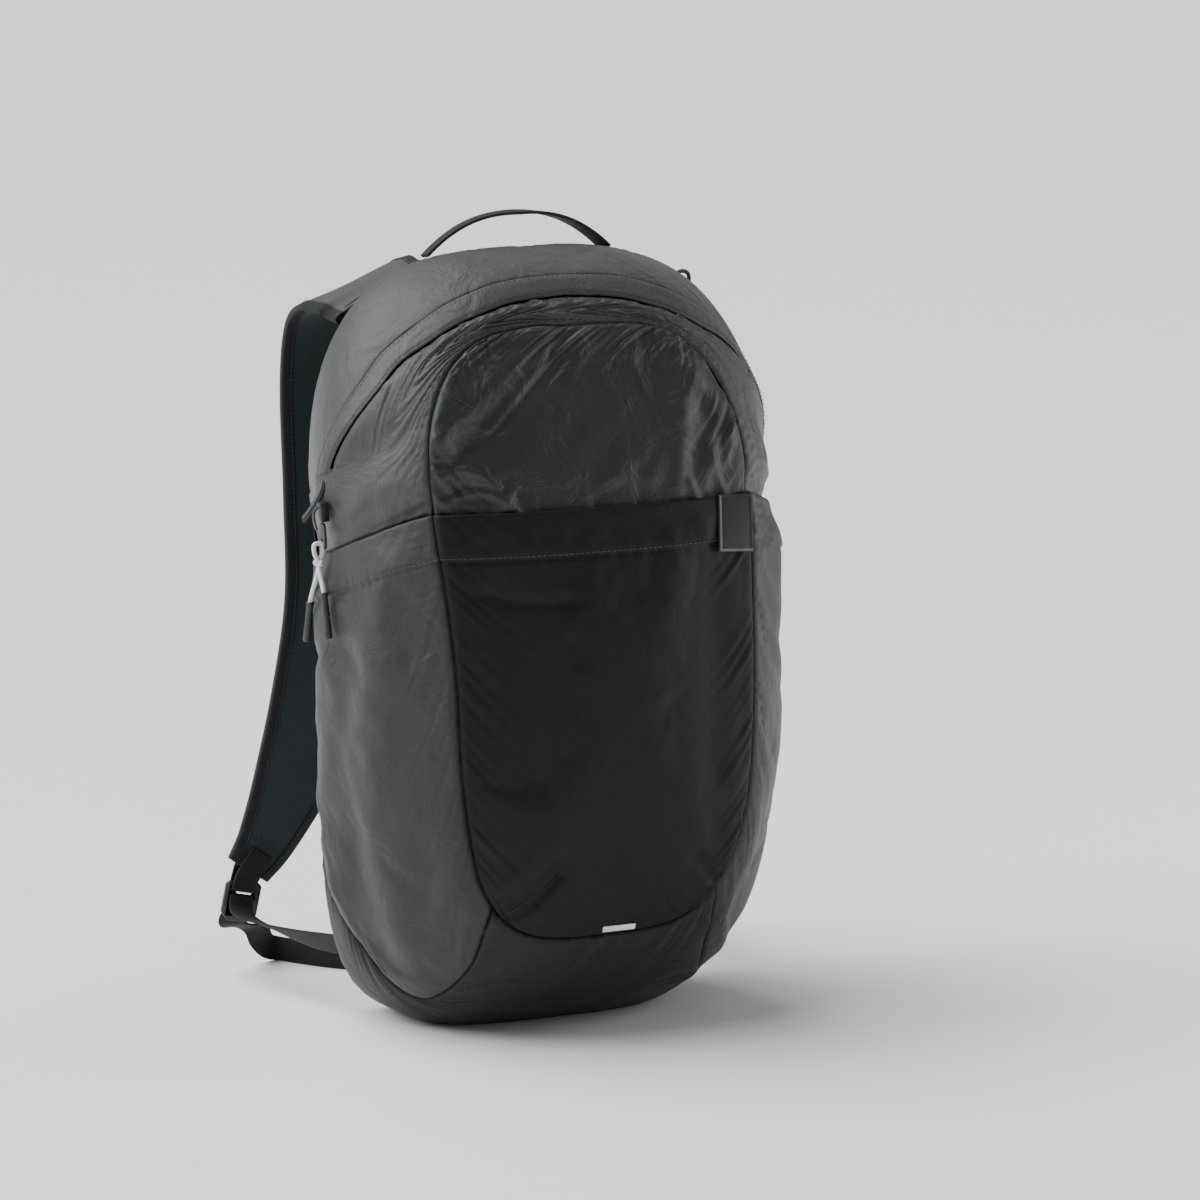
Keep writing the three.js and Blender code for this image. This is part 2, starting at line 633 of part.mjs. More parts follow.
// Bottom panel, which wraps up to the front pocket and to the back panel
addPiece(
  "bottom_panel",
  clothWall(
    makeGrid(COLUMNS_FRONT_TO_BACK, COLUMNS_ACROSS, (i, j) => {
      const depth = i / COLUMNS_FRONT_TO_BACK;
      return clothAt({ angle: bottomAngle(depth, j), depth });
    }),
  ),
  nylonDark,
);

// Band along a row of places, each with its centre, the directions across the band and out of its face,
// its width and its thickness. A padded band has its long edges cut off.
function bandAlong(places, padded = false) {
  const sections = places.map(({ centre, across, out, width, thickness }) => {
    const a = width / 2;
    const b = thickness / 2;
    const corners = [
      [a, b],
      [-a, b],
      [-a, -b],
      [a, -b],
    ];
    const rounded = [
      [a, b * 0.35],
      [a - b, b],
      [b - a, b],
      [-a, b * 0.35],
      [-a, -b * 0.35],
      [b - a, -b],
      [a - b, -b],
      [a, -b * 0.35],
    ];
    return (padded ? rounded : corners).map(([p, q]) =>
      centre.clone().addScaledVector(across, p).addScaledVector(out, q),
    );
  });
  const sides = sections[0].length;
  const last = (sections.length - 1) * sides;
  const triangles = [];
  for (let start = 0; start < last; start += sides) {
    for (let k = 0; k < sides; k += 1) {
      const a = start + k;
      const b = start + ((k + 1) % sides);
      triangles.push([a, b, b + sides], [a, b + sides, a + sides]);
    }
  }
  for (let k = 1; k < sides - 1; k += 1) {
    triangles.push([0, k + 1, k], [last, last + k, last + k + 1]);
  }
  return closedBody(sections.flat(), triangles);
}

// Places along a path of points. The direction across is set square to the path.
function placesAlong(path, acrossAt, widthAt, thickness) {
  return path.map((centre, i) => {
    const before = path[Math.max(i - 1, 0)];
    const after = path[Math.min(i + 1, path.length - 1)];
    const along = after.clone().sub(before).normalize();
    const across = acrossAt(i);
    across.addScaledVector(along, -along.dot(across)).normalize();
    return { centre, along, across, out: across.clone().cross(along), width: widthAt(i), thickness };
  });
}

// Angle at which the outline passes over an x, near its top.
function angleOver(x, depth) {
  let low = 20;
  let high = 160;
  for (let k = 0; k < 40; k += 1) {
    const middle = (low + high) / 2;
    if (outlinePoint(middle, depth).x > x) low = middle;
    else high = middle;
  }
  return (low + high) / 2;
}

// Handle: a bow of webbing whose ends go into the back seam
const handleDepth = (HANDLE_WEBBING_WIDTH / 2 + 3) / depthAt(BAG_HEIGHT);
const handleAngle = angleOver(-HANDLE_SPAN / 2, handleDepth);
const handleFoot = (x) => {
  const { point, normal } = clothAt({ angle: angleOver(x, handleDepth), depth: handleDepth });
  return point.addScaledVector(normal, HANDLE_WEBBING_THICKNESS / 2 + SEAM_GAP + 0.5);
};
const footSlope = basePoint(handleAngle, 0.01).sub(basePoint(handleAngle, 2 * handleDepth));
footSlope.setX(0).normalize();
const handleAcross = (k) => {
  const fromMiddle = Math.abs((2 * k) / HANDLE_STEPS - 1);
  return new THREE.Vector3(0, 1, 0).lerp(footSlope, fromMiddle);
};
const handleLeft = handleFoot(-HANDLE_SPAN / 2);
const handleRight = handleFoot(HANDLE_SPAN / 2);
const handlePath = angles(HANDLE_STEPS, (k) => {
  const t = k / HANDLE_STEPS;
  const point = handleLeft.clone().lerp(handleRight, t);
  point.z += HANDLE_RISE * (1 - Math.abs(2 * t - 1) ** 2.4);
  return point;
});
addPiece(
  "handle",
  bandAlong(
    placesAlong(handlePath, handleAcross, () => HANDLE_WEBBING_WIDTH, HANDLE_WEBBING_THICKNESS),
  ),
  webbing,
);

// Shoulder straps with their ladder locks and webbing
const faceGap = SEAM_GAP + 0.2;
const wrapRadius = LOCK_THICKNESS / 2 + faceGap + WEBBING_THICKNESS / 2;
const barInset = 0.7;
const lockSlot = 2 * (wrapRadius + WEBBING_THICKNESS / 2 - barInset) + LOCK_PLAY;
const lockLength = 3 * LOCK_BAR + 2 * lockSlot;

for (const side of [-1, 1]) {
  const hand = side < 0 ? "left" : "right";
  const columnAt = (name, k) => read(STRAP_LINE, name, (k / STRAP_STEPS) ** 1.3);
  const strapPath = angles(
    STRAP_STEPS,
    (k) =>
      new THREE.Vector3(
        side * HALF_WIDTH * columnAt("x", k),
        BACK_SEAM_Y + STRAP_BOW * columnAt("out", k),
        BAG_HEIGHT * columnAt("z", k),
      ),
  );
  const slope = (k) => {
    const tilt = radians(columnAt("tilt", k));
    return new THREE.Vector3(Math.cos(tilt), 0, -side * Math.sin(tilt));
  };
  const strapWidth = (k) => STRAP_WIDTH * columnAt("width", k);
  const strapPlaces = placesAlong(strapPath, slope, strapWidth, STRAP_THICKNESS);
  addPiece("strap_pad_" + hand, bandAlong(strapPlaces, true), meshCloth);

  // Everything at the strap's tip is placed by its distance below the tip and out from its middle. The
  // lock hangs turned towards the middle of the bag.
  const tip = strapPlaces[STRAP_STEPS];
  const atTip = (below, out) =>
    tip.centre.clone().addScaledVector(tip.along, below).addScaledVector(tip.out, out);
  const turned = (direction) => direction.clone().applyAxisAngle(tip.out, radians(side * LOCK_TURN));
  const lockAlong = turned(tip.along);
  const lockAcross = turned(tip.across);
  const lockPivot = atTip(2, 0);
  const atLock = (below, out) =>
    lockPivot.clone().addScaledVector(lockAlong, below - 2).addScaledVector(tip.out, out);
  const webbingWidth = () => WEBBING_WIDTH;

  const shape = new THREE.Shape();
  const halfLock = LOCK_WIDTH / 2;
  shape.moveTo(-halfLock, 2);
  shape.lineTo(2 - halfLock, 0);
  shape.lineTo(halfLock - 2, 0);
  shape.lineTo(halfLock, 2);
  shape.lineTo(halfLock, lockLength - 5);
  shape.lineTo(halfLock - 5, lockLength);
  shape.lineTo(5 - halfLock, lockLength);
  shape.lineTo(-halfLock, lockLength - 5);
  for (const start of [LOCK_BAR, 2 * LOCK_BAR + lockSlot]) {
    const halfSlot = WEBBING_WIDTH / 2 + 0.6;
    const slot = new THREE.Path();
    slot.moveTo(-halfSlot, start);
    slot.lineTo(-halfSlot, start + lockSlot);
    slot.lineTo(halfSlot, start + lockSlot);
    slot.lineTo(halfSlot, start);
    shape.holes.push(slot);
  }
  const lock = new THREE.ExtrudeGeometry(shape, { depth: LOCK_THICKNESS, bevelEnabled: false });
  const lockPlace = new THREE.Matrix4().makeBasis(lockAcross, lockAlong, lockAcross.clone().cross(lockAlong));
  lockPlace.setPosition(atLock(LOCK_LOOP, 0));
  lock.translate(0, 0, -LOCK_THICKNESS / 2);
  lock.applyMatrix4(lockPlace);
  addPiece("ladder_lock_" + hand, lock, plastic);

  // Loop of webbing from both faces of the strap round the lock's top bar
  const loopFace = STRAP_THICKNESS / 2 + faceGap + 0.3 + WEBBING_THICKNESS / 2;
  const topTurn = LOCK_LOOP + LOCK_BAR - barInset;
  const loopPath = [
    atTip(-LOOP_SEWN_LENGTH, loopFace),
    atTip(-1, loopFace),
    atLock(LOCK_LOOP - 2, wrapRadius + 0.6),
  ];
  for (let k = 0; k <= WRAP_STEPS; k += 1) {
    const turn = (Math.PI * k) / WRAP_STEPS;
    loopPath.push(atLock(topTurn + wrapRadius * Math.sin(turn), wrapRadius * Math.cos(turn)));
  }
  loopPath.push(
    atLock(LOCK_LOOP - 2, -wrapRadius - 0.6),
    atTip(-1, -loopFace),
    atTip(-LOOP_SEWN_LENGTH, -loopFace),
  );
  const loopAcross = (i) => (i < 2 || i > loopPath.length - 3 ? tip.across : lockAcross).clone();
  addPiece(
    "strap_loop_" + hand,
    bandAlong(placesAlong(loopPath, loopAcross, webbingWidth, WEBBING_THICKNESS)),
    webbing,
  );

  // Lower webbing: from the bag's lower back corner up behind the lock, over its middle bar and down
  // to the floor
  const lockBottom = LOCK_LOOP + lockLength;
  const middleTurn = LOCK_LOOP + LOCK_BAR + lockSlot + barInset;
  const corner = basePoint(side < 0 ? ANCHOR_ANGLE : 540 - ANCHOR_ANGLE, 0, 0.97);
  const sewn = corner.clone().setY(corner.y + faceGap);
  const leaving = sewn.clone().setY(sewn.y + 4);
  const behindLock = atLock(middleTurn + 7, -wrapRadius - 8);
  const lead = new THREE.CatmullRomCurve3([
    leaving,
    leaving.clone().lerp(behindLock, 0.35).add(new THREE.Vector3(0, 0, -3)),
    leaving.clone().lerp(behindLock, 0.7).add(new THREE.Vector3(0, 0, -3)),
    behindLock,
    atLock(middleTurn + 4, -wrapRadius - 1.2),
  ]);
  const lowerPath = [sewn, ...lead.getPoints(LEAD_STEPS)];
  for (let k = 0; k <= WRAP_STEPS; k += 1) {
    const turn = (Math.PI * k) / WRAP_STEPS;
    lowerPath.push(atLock(middleTurn - wrapRadius * Math.sin(turn), -wrapRadius * Math.cos(turn)));
  }
  const wrapEnd = lowerPath.length - 1;
  const onFloor = (place) =>
    new THREE.Vector3(
      side * HALF_WIDTH * place.x,
      BACK_SEAM_Y + STRAP_BOW * place.out,
      WEBBING_WIDTH * (place.z + 0.5),
    );
  const tail = new THREE.CatmullRomCurve3([
    atLock(lockBottom - LOCK_BAR - 1, wrapRadius + 0.5),
    atLock(lockBottom + 2, wrapRadius + 3.5),
    ...TAIL_LINE.map(onFloor),
  ]);
  lowerPath.push(...tail.getPoints(TAIL_STEPS));
  const tailAcross = (i) => {
    const after = clamp01((i - wrapEnd - 4) / (TAIL_STEPS * 0.4));
    const before = clamp01(i / LEAD_STEPS);
    const floorAcross = new THREE.Vector3(0, 0, -side);
    const seamAcross = new THREE.Vector3(0.5, 0, side * 0.87);
    if (i <= LEAD_STEPS) return seamAcross.lerp(lockAcross, smooth(0, 0.85, before));
    return lockAcross.clone().lerp(floorAcross, smooth(0, 1, after));
  };
  const lowerPlaces = placesAlong(lowerPath, tailAcross, webbingWidth, WEBBING_THICKNESS);
  addPiece("lower_webbing_" + hand, bandAlong(lowerPlaces), webbing);
}

// Place on the front panel behind a point seen from the front
function frontPlace(x, z) {
  const end = read(OUTLINES, z > WAIST_HEIGHT ? "top" : "bottom", 1) * BAG_HEIGHT;
  const shoulder = smooth(0.45, 0.85, z / BAG_HEIGHT);
  const wide = lerp(read(OUTLINES, "low", 1), read(OUTLINES, "high", 1), shoulder);
  const u = (x / HALF_WIDTH - read(OUTLINES, "lean", 1) * shoulder) / wide;
  return panelPlace(u, (z - WAIST_HEIGHT) / Math.abs(end - WAIST_HEIGHT), 1);
}

// Patch of cloth on the front pocket: its outer face stands a rise and its own thickness above the pocket
function frontPatchPiece(name, centre, size, turn, rise, thickness, divisions, material) {
  const c = Math.cos(radians(turn));
  const s = Math.sin(radians(turn));
  const [across, up] = divisions;
  const grid = makeGrid(up, across, (i, j) => {
    const x = size.x * (j / across - 0.5);
    const z = size.y * (i / up - 0.5);
    return clothAt(frontPlace(centre.x + x * c - z * s, centre.y + x * s + z * c), -rise - thickness);
  });
  addPiece(name, clothWall(grid, () => thickness), material);
}
const mouthHeight = outlinePoint(frontAngle(hemRow), 1).z;
frontPatchPiece(
  "label_patch",
  new THREE.Vector2(0.606 * HALF_WIDTH, mouthHeight - LABEL_HEIGHT * LABEL_BELOW_MOUTH),
  new THREE.Vector2(LABEL_WIDTH, LABEL_HEIGHT),
  -4,
  HEM_RISE + SEAM_GAP + 0.1,
  LABEL_THICKNESS,
  [3, 4],
  plastic,
);
frontPatchPiece(
  "reflective_bar",
  new THREE.Vector2(0.062 * HALF_WIDTH, 0.1525 * BAG_HEIGHT),
  new THREE.Vector2(REFLECTIVE_BAR_LENGTH, REFLECTIVE_BAR_HEIGHT),
  0,
  SEAM_GAP + 0.1,
  BAR_THICKNESS,
  [3, 1],
  reflective,
);

// Place on the left side at a height and a distance in front of the back seam
function leftPlace(z, forward) {
  const depth = forward / depthAt(z);
  const end = read(OUTLINES, z > WAIST_HEIGHT ? "top" : "bottom", depth) * BAG_HEIGHT;
  const power = read(OUTLINES, z > WAIST_HEIGHT ? "topPower" : "bottomPower", depth);
  const w = (z - WAIST_HEIGHT) / Math.abs(end - WAIST_HEIGHT);
  const u = (1 - Math.abs(w) ** power) ** (1 / power);
  return { angle: 180 - (Math.atan2(w, u) * 180) / Math.PI, depth };
}

// Point beside the left side at a height, a distance in front of the back seam and a rise above the cloth
const besideLeft = (z, forward, rise) => clothAt(leftPlace(z, forward), -rise).point;

// Turns a flat plate onto the left side: its x runs towards the front, its y up the cloth from below
// a height, and its z out of the cloth from a rise.
function ontoLeftSide(geometry, top, forward, length, rise) {
  const upper = besideLeft(top, forward, rise);
  const up = upper.clone().sub(besideLeft(top - length, forward, rise)).normalize();
  const out = up.clone().cross(new THREE.Vector3(0, 1, 0)).normalize();
  const front = up.clone().cross(out);
  const place = new THREE.Matrix4().makeBasis(front, up, out);
  place.setPosition(upper);
  return geometry.applyMatrix4(place);
}

// Left end of the zip: a short length of its tape comes out from under the band and bends away
const bandEnd = clothAt({ angle: ZIP_END_ANGLE, depth: 0 });
bandEnd.point.lerp(clothAt(zipEdge(1)).point, (yokeShare(1) + 1) / 2);
const tapeForward = BACK_SEAM_Y - bandEnd.point.y;
const tapeTop = bandEnd.point.z - ZIP_TAPE_WIDTH / 4 - 2;
const tapeRise = ZIP_TAPE_THICKNESS / 2 + SEAM_GAP - CLOTH / 2;
const tapePath = angles(TAPE_STEPS, (k) => {
  const t = k / TAPE_STEPS;
  const forward = tapeForward - TAPE_BEND * t ** 1.5;
  return besideLeft(tapeTop - t * ZIP_TAPE_LENGTH, forward, tapeRise + 6 * t ** 2);
});
addPiece(
  "zip_end",
  bandAlong(
    placesAlong(tapePath, () => new THREE.Vector3(0, 1, 0), () => ZIP_TAPE_WIDTH, ZIP_TAPE_THICKNESS),
  ),
  webbing,
);

// Slider in front of the tape's end
const sliderTop = tapeTop - SLIDER_LENGTH;
const besideTape = TAPE_BEND * (SLIDER_LENGTH / ZIP_TAPE_LENGTH) ** 1.5;
const hangForward = tapeForward - besideTape + ZIP_TAPE_WIDTH / 2 + SLIDER_WIDTH / 2 + 1.2;
const sliderShape = new THREE.Shape();
sliderShape.moveTo(-SLIDER_WIDTH * 0.3, -SLIDER_LENGTH);
sliderShape.lineTo(SLIDER_WIDTH * 0.3, -SLIDER_LENGTH);
sliderShape.lineTo(SLIDER_WIDTH / 2, -SLIDER_LENGTH * 0.3);
sliderShape.lineTo(SLIDER_WIDTH * 0.4, 0);
sliderShape.lineTo(-SLIDER_WIDTH * 0.4, 0);
sliderShape.lineTo(-SLIDER_WIDTH / 2, -SLIDER_LENGTH * 0.3);
const slider = new THREE.ExtrudeGeometry(sliderShape, { depth: SLIDER_THICKNESS, bevelEnabled: false });
addPiece("zip_slider", ontoLeftSide(slider, sliderTop, hangForward, SLIDER_LENGTH, 0.7), metal);

// Tab below the slider, with a hole for the cord near its lower end
const tabRise = PULL_CORD_DIAMETER + 1.4;
const tabTop = sliderTop - SLIDER_LENGTH - 3 * SEAM_GAP;
const holeBelow = TAB_LENGTH - TAB_WIDTH / 2;
const tabShape = new THREE.Shape();
const cut = TAB_WIDTH * 0.25;
tabShape.moveTo(-TAB_WIDTH / 2, -TAB_LENGTH + cut);
tabShape.lineTo(cut - TAB_WIDTH / 2, -TAB_LENGTH);
tabShape.lineTo(TAB_WIDTH / 2 - cut, -TAB_LENGTH);
tabShape.lineTo(TAB_WIDTH / 2, -TAB_LENGTH + cut);
tabShape.lineTo(TAB_WIDTH / 2, -cut);
tabShape.lineTo(TAB_WIDTH / 2 - cut, 0);
tabShape.lineTo(cut - TAB_WIDTH / 2, 0);
tabShape.lineTo(-TAB_WIDTH / 2, -cut);
const hole = new THREE.Path();
hole.absarc(0, -holeBelow, PULL_CORD_DIAMETER / 2 + 0.8, 0, 2 * Math.PI, true);
tabShape.holes.push(hole);
const tab = new THREE.ExtrudeGeometry(tabShape, {
  depth: TAB_THICKNESS,
  bevelEnabled: false,
  curveSegments: 5,
});
addPiece("pull_tab", ontoLeftSide(tab, tabTop, hangForward, TAB_LENGTH, tabRise), metal);

// Solid for joining from a closed geometry, and back
const wasm = await Module();
wasm.setup();
function toSolid(geometry) {
  const bare = geometry.clone();
  bare.deleteAttribute("normal");
  bare.deleteAttribute("uv");
  const merged = mergeVertices(bare, 1e-4);
  return new wasm.Manifold(
    new wasm.Mesh({
      numProp: 3,
      vertProperties: new Float32Array(merged.attributes.position.array),
      triVerts: new Uint32Array(merged.index.array),
    }),
  );
}
function toGeometry(solid) {
  const mesh = solid.getMesh();
  const geometry = new THREE.BufferGeometry();
  geometry.setAttribute("position", new THREE.BufferAttribute(new Float32Array(mesh.vertProperties), 3));
  geometry.setIndex(Array.from(mesh.triVerts));
  return geometry;
}
function cordAlong(points, diameter, sides, steps) {
  const outline = angles(sides - 1, (k) => {
    const turn = (2 * Math.PI * k) / sides;
    return new THREE.Vector2((diameter / 2) * Math.cos(turn), (diameter / 2) * Math.sin(turn));
  });
  return new THREE.ExtrudeGeometry(new THREE.Shape(outline), {
    steps,
    bevelEnabled: false,
    extrudePath: new THREE.CatmullRomCurve3(points, false, "centripetal"),
  });
}

// Pull cord: a loop through the tab's hole, a knot, and two tails with sleeves on their ends
const holeHeight = tabTop - holeBelow;
const knotHeight = holeHeight - TAB_WIDTH / 2 - PULL_KNOT_DIAMETER;
const cordRadius = PULL_CORD_DIAMETER / 2;
const insideRise = tabRise - cordRadius - 0.4;
const outsideRise = tabRise + TAB_THICKNESS + cordRadius + 0.4;
const middleRise = (insideRise + outsideRise) / 2;
const hung = (below, back, rise) => besideLeft(knotHeight - below, hangForward - back, rise);
const tailEnd = (back, length) => {
  const low = Math.sqrt(Math.max(length ** 2 - back ** 2, 1));
  return hung(low, back, middleRise);
};
const rearBack = REAR_TAIL_LENGTH * 0.6;
const frontBack = -FRONT_TAIL_LENGTH * 0.28;
const rearEnd = tailEnd(rearBack, REAR_TAIL_LENGTH);
const frontEnd = tailEnd(frontBack, FRONT_TAIL_LENGTH);
const knot = hung(0, 0, middleRise);
const loopTop = [
  knot,
  hung(-PULL_KNOT_DIAMETER * 0.7, 0, insideRise),
  hung(knotHeight - holeHeight + 0.8, 0, insideRise),
  hung(knotHeight - holeHeight, 0, middleRise),
  hung(knotHeight - holeHeight + 0.8, 0, outsideRise),
  hung(-PULL_KNOT_DIAMETER * 0.7, 0, outsideRise),
  knot.clone(),
];
const knotBall = new THREE.SphereGeometry(PULL_KNOT_DIAMETER / 2, 10, 8).translate(knot.x, knot.y, knot.z);
const cordPieces = [
  cordAlong(loopTop, PULL_CORD_DIAMETER, 8, 30),
  cordAlong([knot, hung(8, rearBack * 0.2, middleRise), rearEnd], PULL_CORD_DIAMETER, 8, 8),
  cordAlong([knot, hung(8, frontBack * 0.3, middleRise), frontEnd], PULL_CORD_DIAMETER, 8, 5),
  knotBall,
];
const pullCord = cordPieces.map(toSolid).reduce((whole, piece) => whole.add(piece));
addPiece("pull_cord", toGeometry(pullCord), reflective);
function sleeveBelow(name, end, from) {
  const along = end.clone().sub(from).normalize();
  along.lerp(new THREE.Vector3(0, 0, -1), 0.5).normalize();
  const radius = CORD_END_DIAMETER / 2;
  const sleeve = new THREE.CylinderGeometry(radius, radius, CORD_END_LENGTH, 10);
  const turn = new THREE.Quaternion().setFromUnitVectors(new THREE.Vector3(0, 1, 0), along);
  sleeve.applyQuaternion(turn);
  const middle = end.clone().addScaledVector(along, CORD_END_LENGTH / 2 + cordRadius * 0.5 + SEAM_GAP);
  sleeve.translate(middle.x, middle.y, middle.z);
  addPiece(name, sleeve, plastic);
}
sleeveBelow("cord_end_rear", rearEnd, hung(8, rearBack * 0.2, middleRise));
sleeveBelow("cord_end_front", frontEnd, hung(8, frontBack * 0.3, middleRise));

// Gear loop: a bight of cord in the back seam at the right shoulder
const loopAngle = angleOver(0.765 * HALF_WIDTH, 0);
const loopBase = basePoint(loopAngle, 0).setY(BACK_SEAM_Y - 0.8);
const loopAlong = basePoint(loopAngle + 2, 0).sub(basePoint(loopAngle - 2, 0)).normalize();
const loopOut = new THREE.Vector3(0, 1, 0).cross(loopAlong).normalize();
const onLoop = (along, out) =>
  loopBase
    .clone()
    .addScaledVector(loopAlong, along * GEAR_LOOP_WIDTH)
    .addScaledVector(loopOut, 0.6 + out * GEAR_LOOP_HEIGHT);
const loopLine = [
  onLoop(-0.4, 0),
  onLoop(-0.45, 0.3),
  onLoop(-0.45, 0.65),
  onLoop(-0.3, 0.9),
  onLoop(0, 1),
  onLoop(0.3, 0.9),
  onLoop(0.45, 0.65),
  onLoop(0.45, 0.3),
  onLoop(0.4, 0),
];
addPiece("gear_loop", cordAlong(loopLine, GEAR_LOOP_DIAMETER, 8, 26), webbing);

export default bag;
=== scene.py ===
import math

import bmesh
import bpy
import numpy as np
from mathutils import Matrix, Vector


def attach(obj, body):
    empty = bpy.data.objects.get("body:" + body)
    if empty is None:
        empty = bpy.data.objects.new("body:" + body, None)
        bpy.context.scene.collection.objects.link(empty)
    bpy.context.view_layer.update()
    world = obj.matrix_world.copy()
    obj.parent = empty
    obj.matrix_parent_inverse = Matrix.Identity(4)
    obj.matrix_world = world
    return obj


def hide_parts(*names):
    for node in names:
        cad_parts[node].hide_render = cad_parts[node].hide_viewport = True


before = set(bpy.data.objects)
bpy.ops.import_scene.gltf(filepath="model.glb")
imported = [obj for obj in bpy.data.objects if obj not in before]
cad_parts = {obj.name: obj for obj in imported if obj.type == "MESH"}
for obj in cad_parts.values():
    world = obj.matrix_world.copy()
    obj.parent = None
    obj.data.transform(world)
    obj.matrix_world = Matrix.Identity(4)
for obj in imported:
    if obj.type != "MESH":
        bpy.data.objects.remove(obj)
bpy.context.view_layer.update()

# Back panel. Thin ripstop nylon against the wearer's back, cut in one piece, sewn into the back seam
# and filled out from inside. The bag's whole outline comes from the same few rows, so it is set here.
BAG_HEIGHT = 476
HALF_WIDTH = 141
SIDE_DEPTH = 148
BACK_SEAM_Y = 45
WAIST_HEIGHT = 270
FRONT_CROWN = 17
BACK_CROWN = 6
FOLD_RISE = 3
SEAM_TURN = 7
SEAM_SINK = 2.0

OUTLINES = [
    dict(at=0, low=0.908, high=0.979, lean=0, top=0.987, bottom=0, top_power=3.3, bottom_power=6),
    dict(at=0.25, low=1, high=1.035, lean=0, top=1, bottom=-0.006, top_power=3.2, bottom_power=4.7),
    dict(at=0.5, low=1, high=1.043, lean=0, top=0.996, bottom=-0.008, top_power=3, bottom_power=3.8),
    dict(at=0.75, low=0.929, high=0.95, lean=-0.007, top=0.973, bottom=0.033, top_power=3, bottom_power=3.6),
    dict(at=0.9, low=0.809, high=0.85, lean=-0.03, top=0.943, bottom=0.088, top_power=3.2, bottom_power=3.7),
    dict(at=1, low=0.702, high=0.775, lean=-0.04, top=0.92, bottom=0.141, top_power=3.5, bottom_power=3.5),
]
SIDE_PROFILE = [
    dict(at=0, depth=0.8),
    dict(at=0.08, depth=0.9),
    dict(at=0.2, depth=0.97),
    dict(at=0.35, depth=1),
    dict(at=0.6, depth=0.95),
    dict(at=0.8, depth=0.84),
    dict(at=0.92, depth=0.72),
    dict(at=1, depth=0.66),
]
BOTTOM_SEAM = [
    dict(at=0, angle=211),
    dict(at=0.28, angle=215.5),
    dict(at=0.46, angle=222.5),
    dict(at=0.58, angle=231.5),
    dict(at=0.67, angle=234.5),
    dict(at=0.87, angle=234.2),
    dict(at=1, angle=229),
]
SIDE_HEM = [
    dict(at=0, angle=175),
    dict(at=0.41, angle=171.4),
    dict(at=0.63, angle=168.1),
    dict(at=0.78, angle=165.1),
    dict(at=1, angle=159.4),
]
ZIP_LINE = [
    dict(at=90, depth=0.745),
    dict(at=105.7, depth=0.759),
    dict(at=116.9, depth=0.773),
    dict(at=129.1, depth=0.737),
    dict(at=137.8, depth=0.644),
    dict(at=142.9, depth=0.592),
    dict(at=149.4, depth=0.491),
    dict(at=155.6, depth=0.387),
    dict(at=160.4, depth=0.31),
    dict(at=164, depth=0.22),
]
ZIP_END_ANGLE = 164
HEM_ROW = 13
ZIP_ROW = 15
LAST_ROW = 56
ACROSS = 12
CORNER_ROW = 22
ZIP_COLUMNS = 25
BAND_SHARE = 14 / (SIDE_DEPTH * 0.8)
BAG_MIDDLE = (0, -20, 240)


def lerp(a, b, t):
    return a + (b - a) * t


def smooth(start, end, value):
    t = np.clip((value - start) / (end - start), 0, 1)
    return t * t * (3 - 2 * t)


def read(table, name, at):
    """A column of a table at places along it, on a smooth curve through the rows."""
    places = np.array([row["at"] for row in table], float)
    values = np.array([row[name] for row in table], float)
    last = len(places) - 1
    before = np.maximum(np.arange(last + 1) - 1, 0)
    after = np.minimum(np.arange(last + 1) + 1, last)
    slopes = (values[after] - values[before]) / (places[after] - places[before])
    at = np.clip(np.asarray(at, float), places[0], places[-1])
    i = np.clip(np.searchsorted(places, at) - 1, 0, last - 1)
    span = places[i + 1] - places[i]
    t = (at - places[i]) / span
    rows = (2 * t**3 - 3 * t**2 + 1) * values[i] + (3 * t**2 - 2 * t**3) * values[i + 1]
    bends = (t**3 - 2 * t**2 + t) * slopes[i] + (t**3 - t**2) * slopes[i + 1]
    return rows + span * bends


def depth_at(z):
    return SIDE_DEPTH * read(SIDE_PROFILE, "depth", np.clip(z / BAG_HEIGHT, 0, 1))


def outline_point(angle, depth, reach=1.0):
    """x and z of the outline at an angle from the right side round over the top, and at a depth."""
    c = np.cos(np.radians(angle))
    s = np.sin(np.radians(angle))
    above = s > 0
    power = np.where(above, read(OUTLINES, "top_power", depth), read(OUTLINES, "bottom_power", depth))
    tall = np.where(
        above,
        read(OUTLINES, "top", depth) * BAG_HEIGHT - WAIST_HEIGHT,
        WAIST_HEIGHT - read(OUTLINES, "bottom", depth) * BAG_HEIGHT,
    )
    radius = reach * (np.abs(c) ** power + np.abs(s) ** power) ** (-1 / power)
    z = np.maximum(WAIST_HEIGHT + radius * s * tall, 0)
    shoulder = smooth(0.45, 0.85, z / BAG_HEIGHT)
    wide = lerp(read(OUTLINES, "low", depth), read(OUTLINES, "high", depth), shoulder)
    return HALF_WIDTH * (radius * c * wide + read(OUTLINES, "lean", depth) * shoulder), z


def base_point(angle, depth, reach=1.0):
    """Point of the filled bag before folds. A reach below 1 goes in over the front or back panel."""
    angle, depth, reach = np.broadcast_arrays(*(np.asarray(v, float) for v in (angle, depth, reach)))
    x, z = outline_point(angle, depth, reach)
    bulge = 1 - np.abs(reach) ** 2.2
    crown = np.where(depth > 0.5, -FRONT_CROWN * bulge, BACK_CROWN * bulge)
    y = BACK_SEAM_Y - depth * depth_at(z) + np.where(reach < 1, crown, 0)
    return np.stack([x, y, z], axis=-1)


def unit(vectors):
    return vectors / np.maximum(np.linalg.norm(vectors, axis=-1, keepdims=True), 1e-9)


def side_normal(angle, depth):
    step = 0.02
    round_ = base_point(angle + 1.5, depth) - base_point(angle - 1.5, depth)
    across = base_point(angle, np.minimum(depth + step, 1)) - base_point(angle, np.maximum(depth - step, 0))
    return unit(np.cross(round_, across))


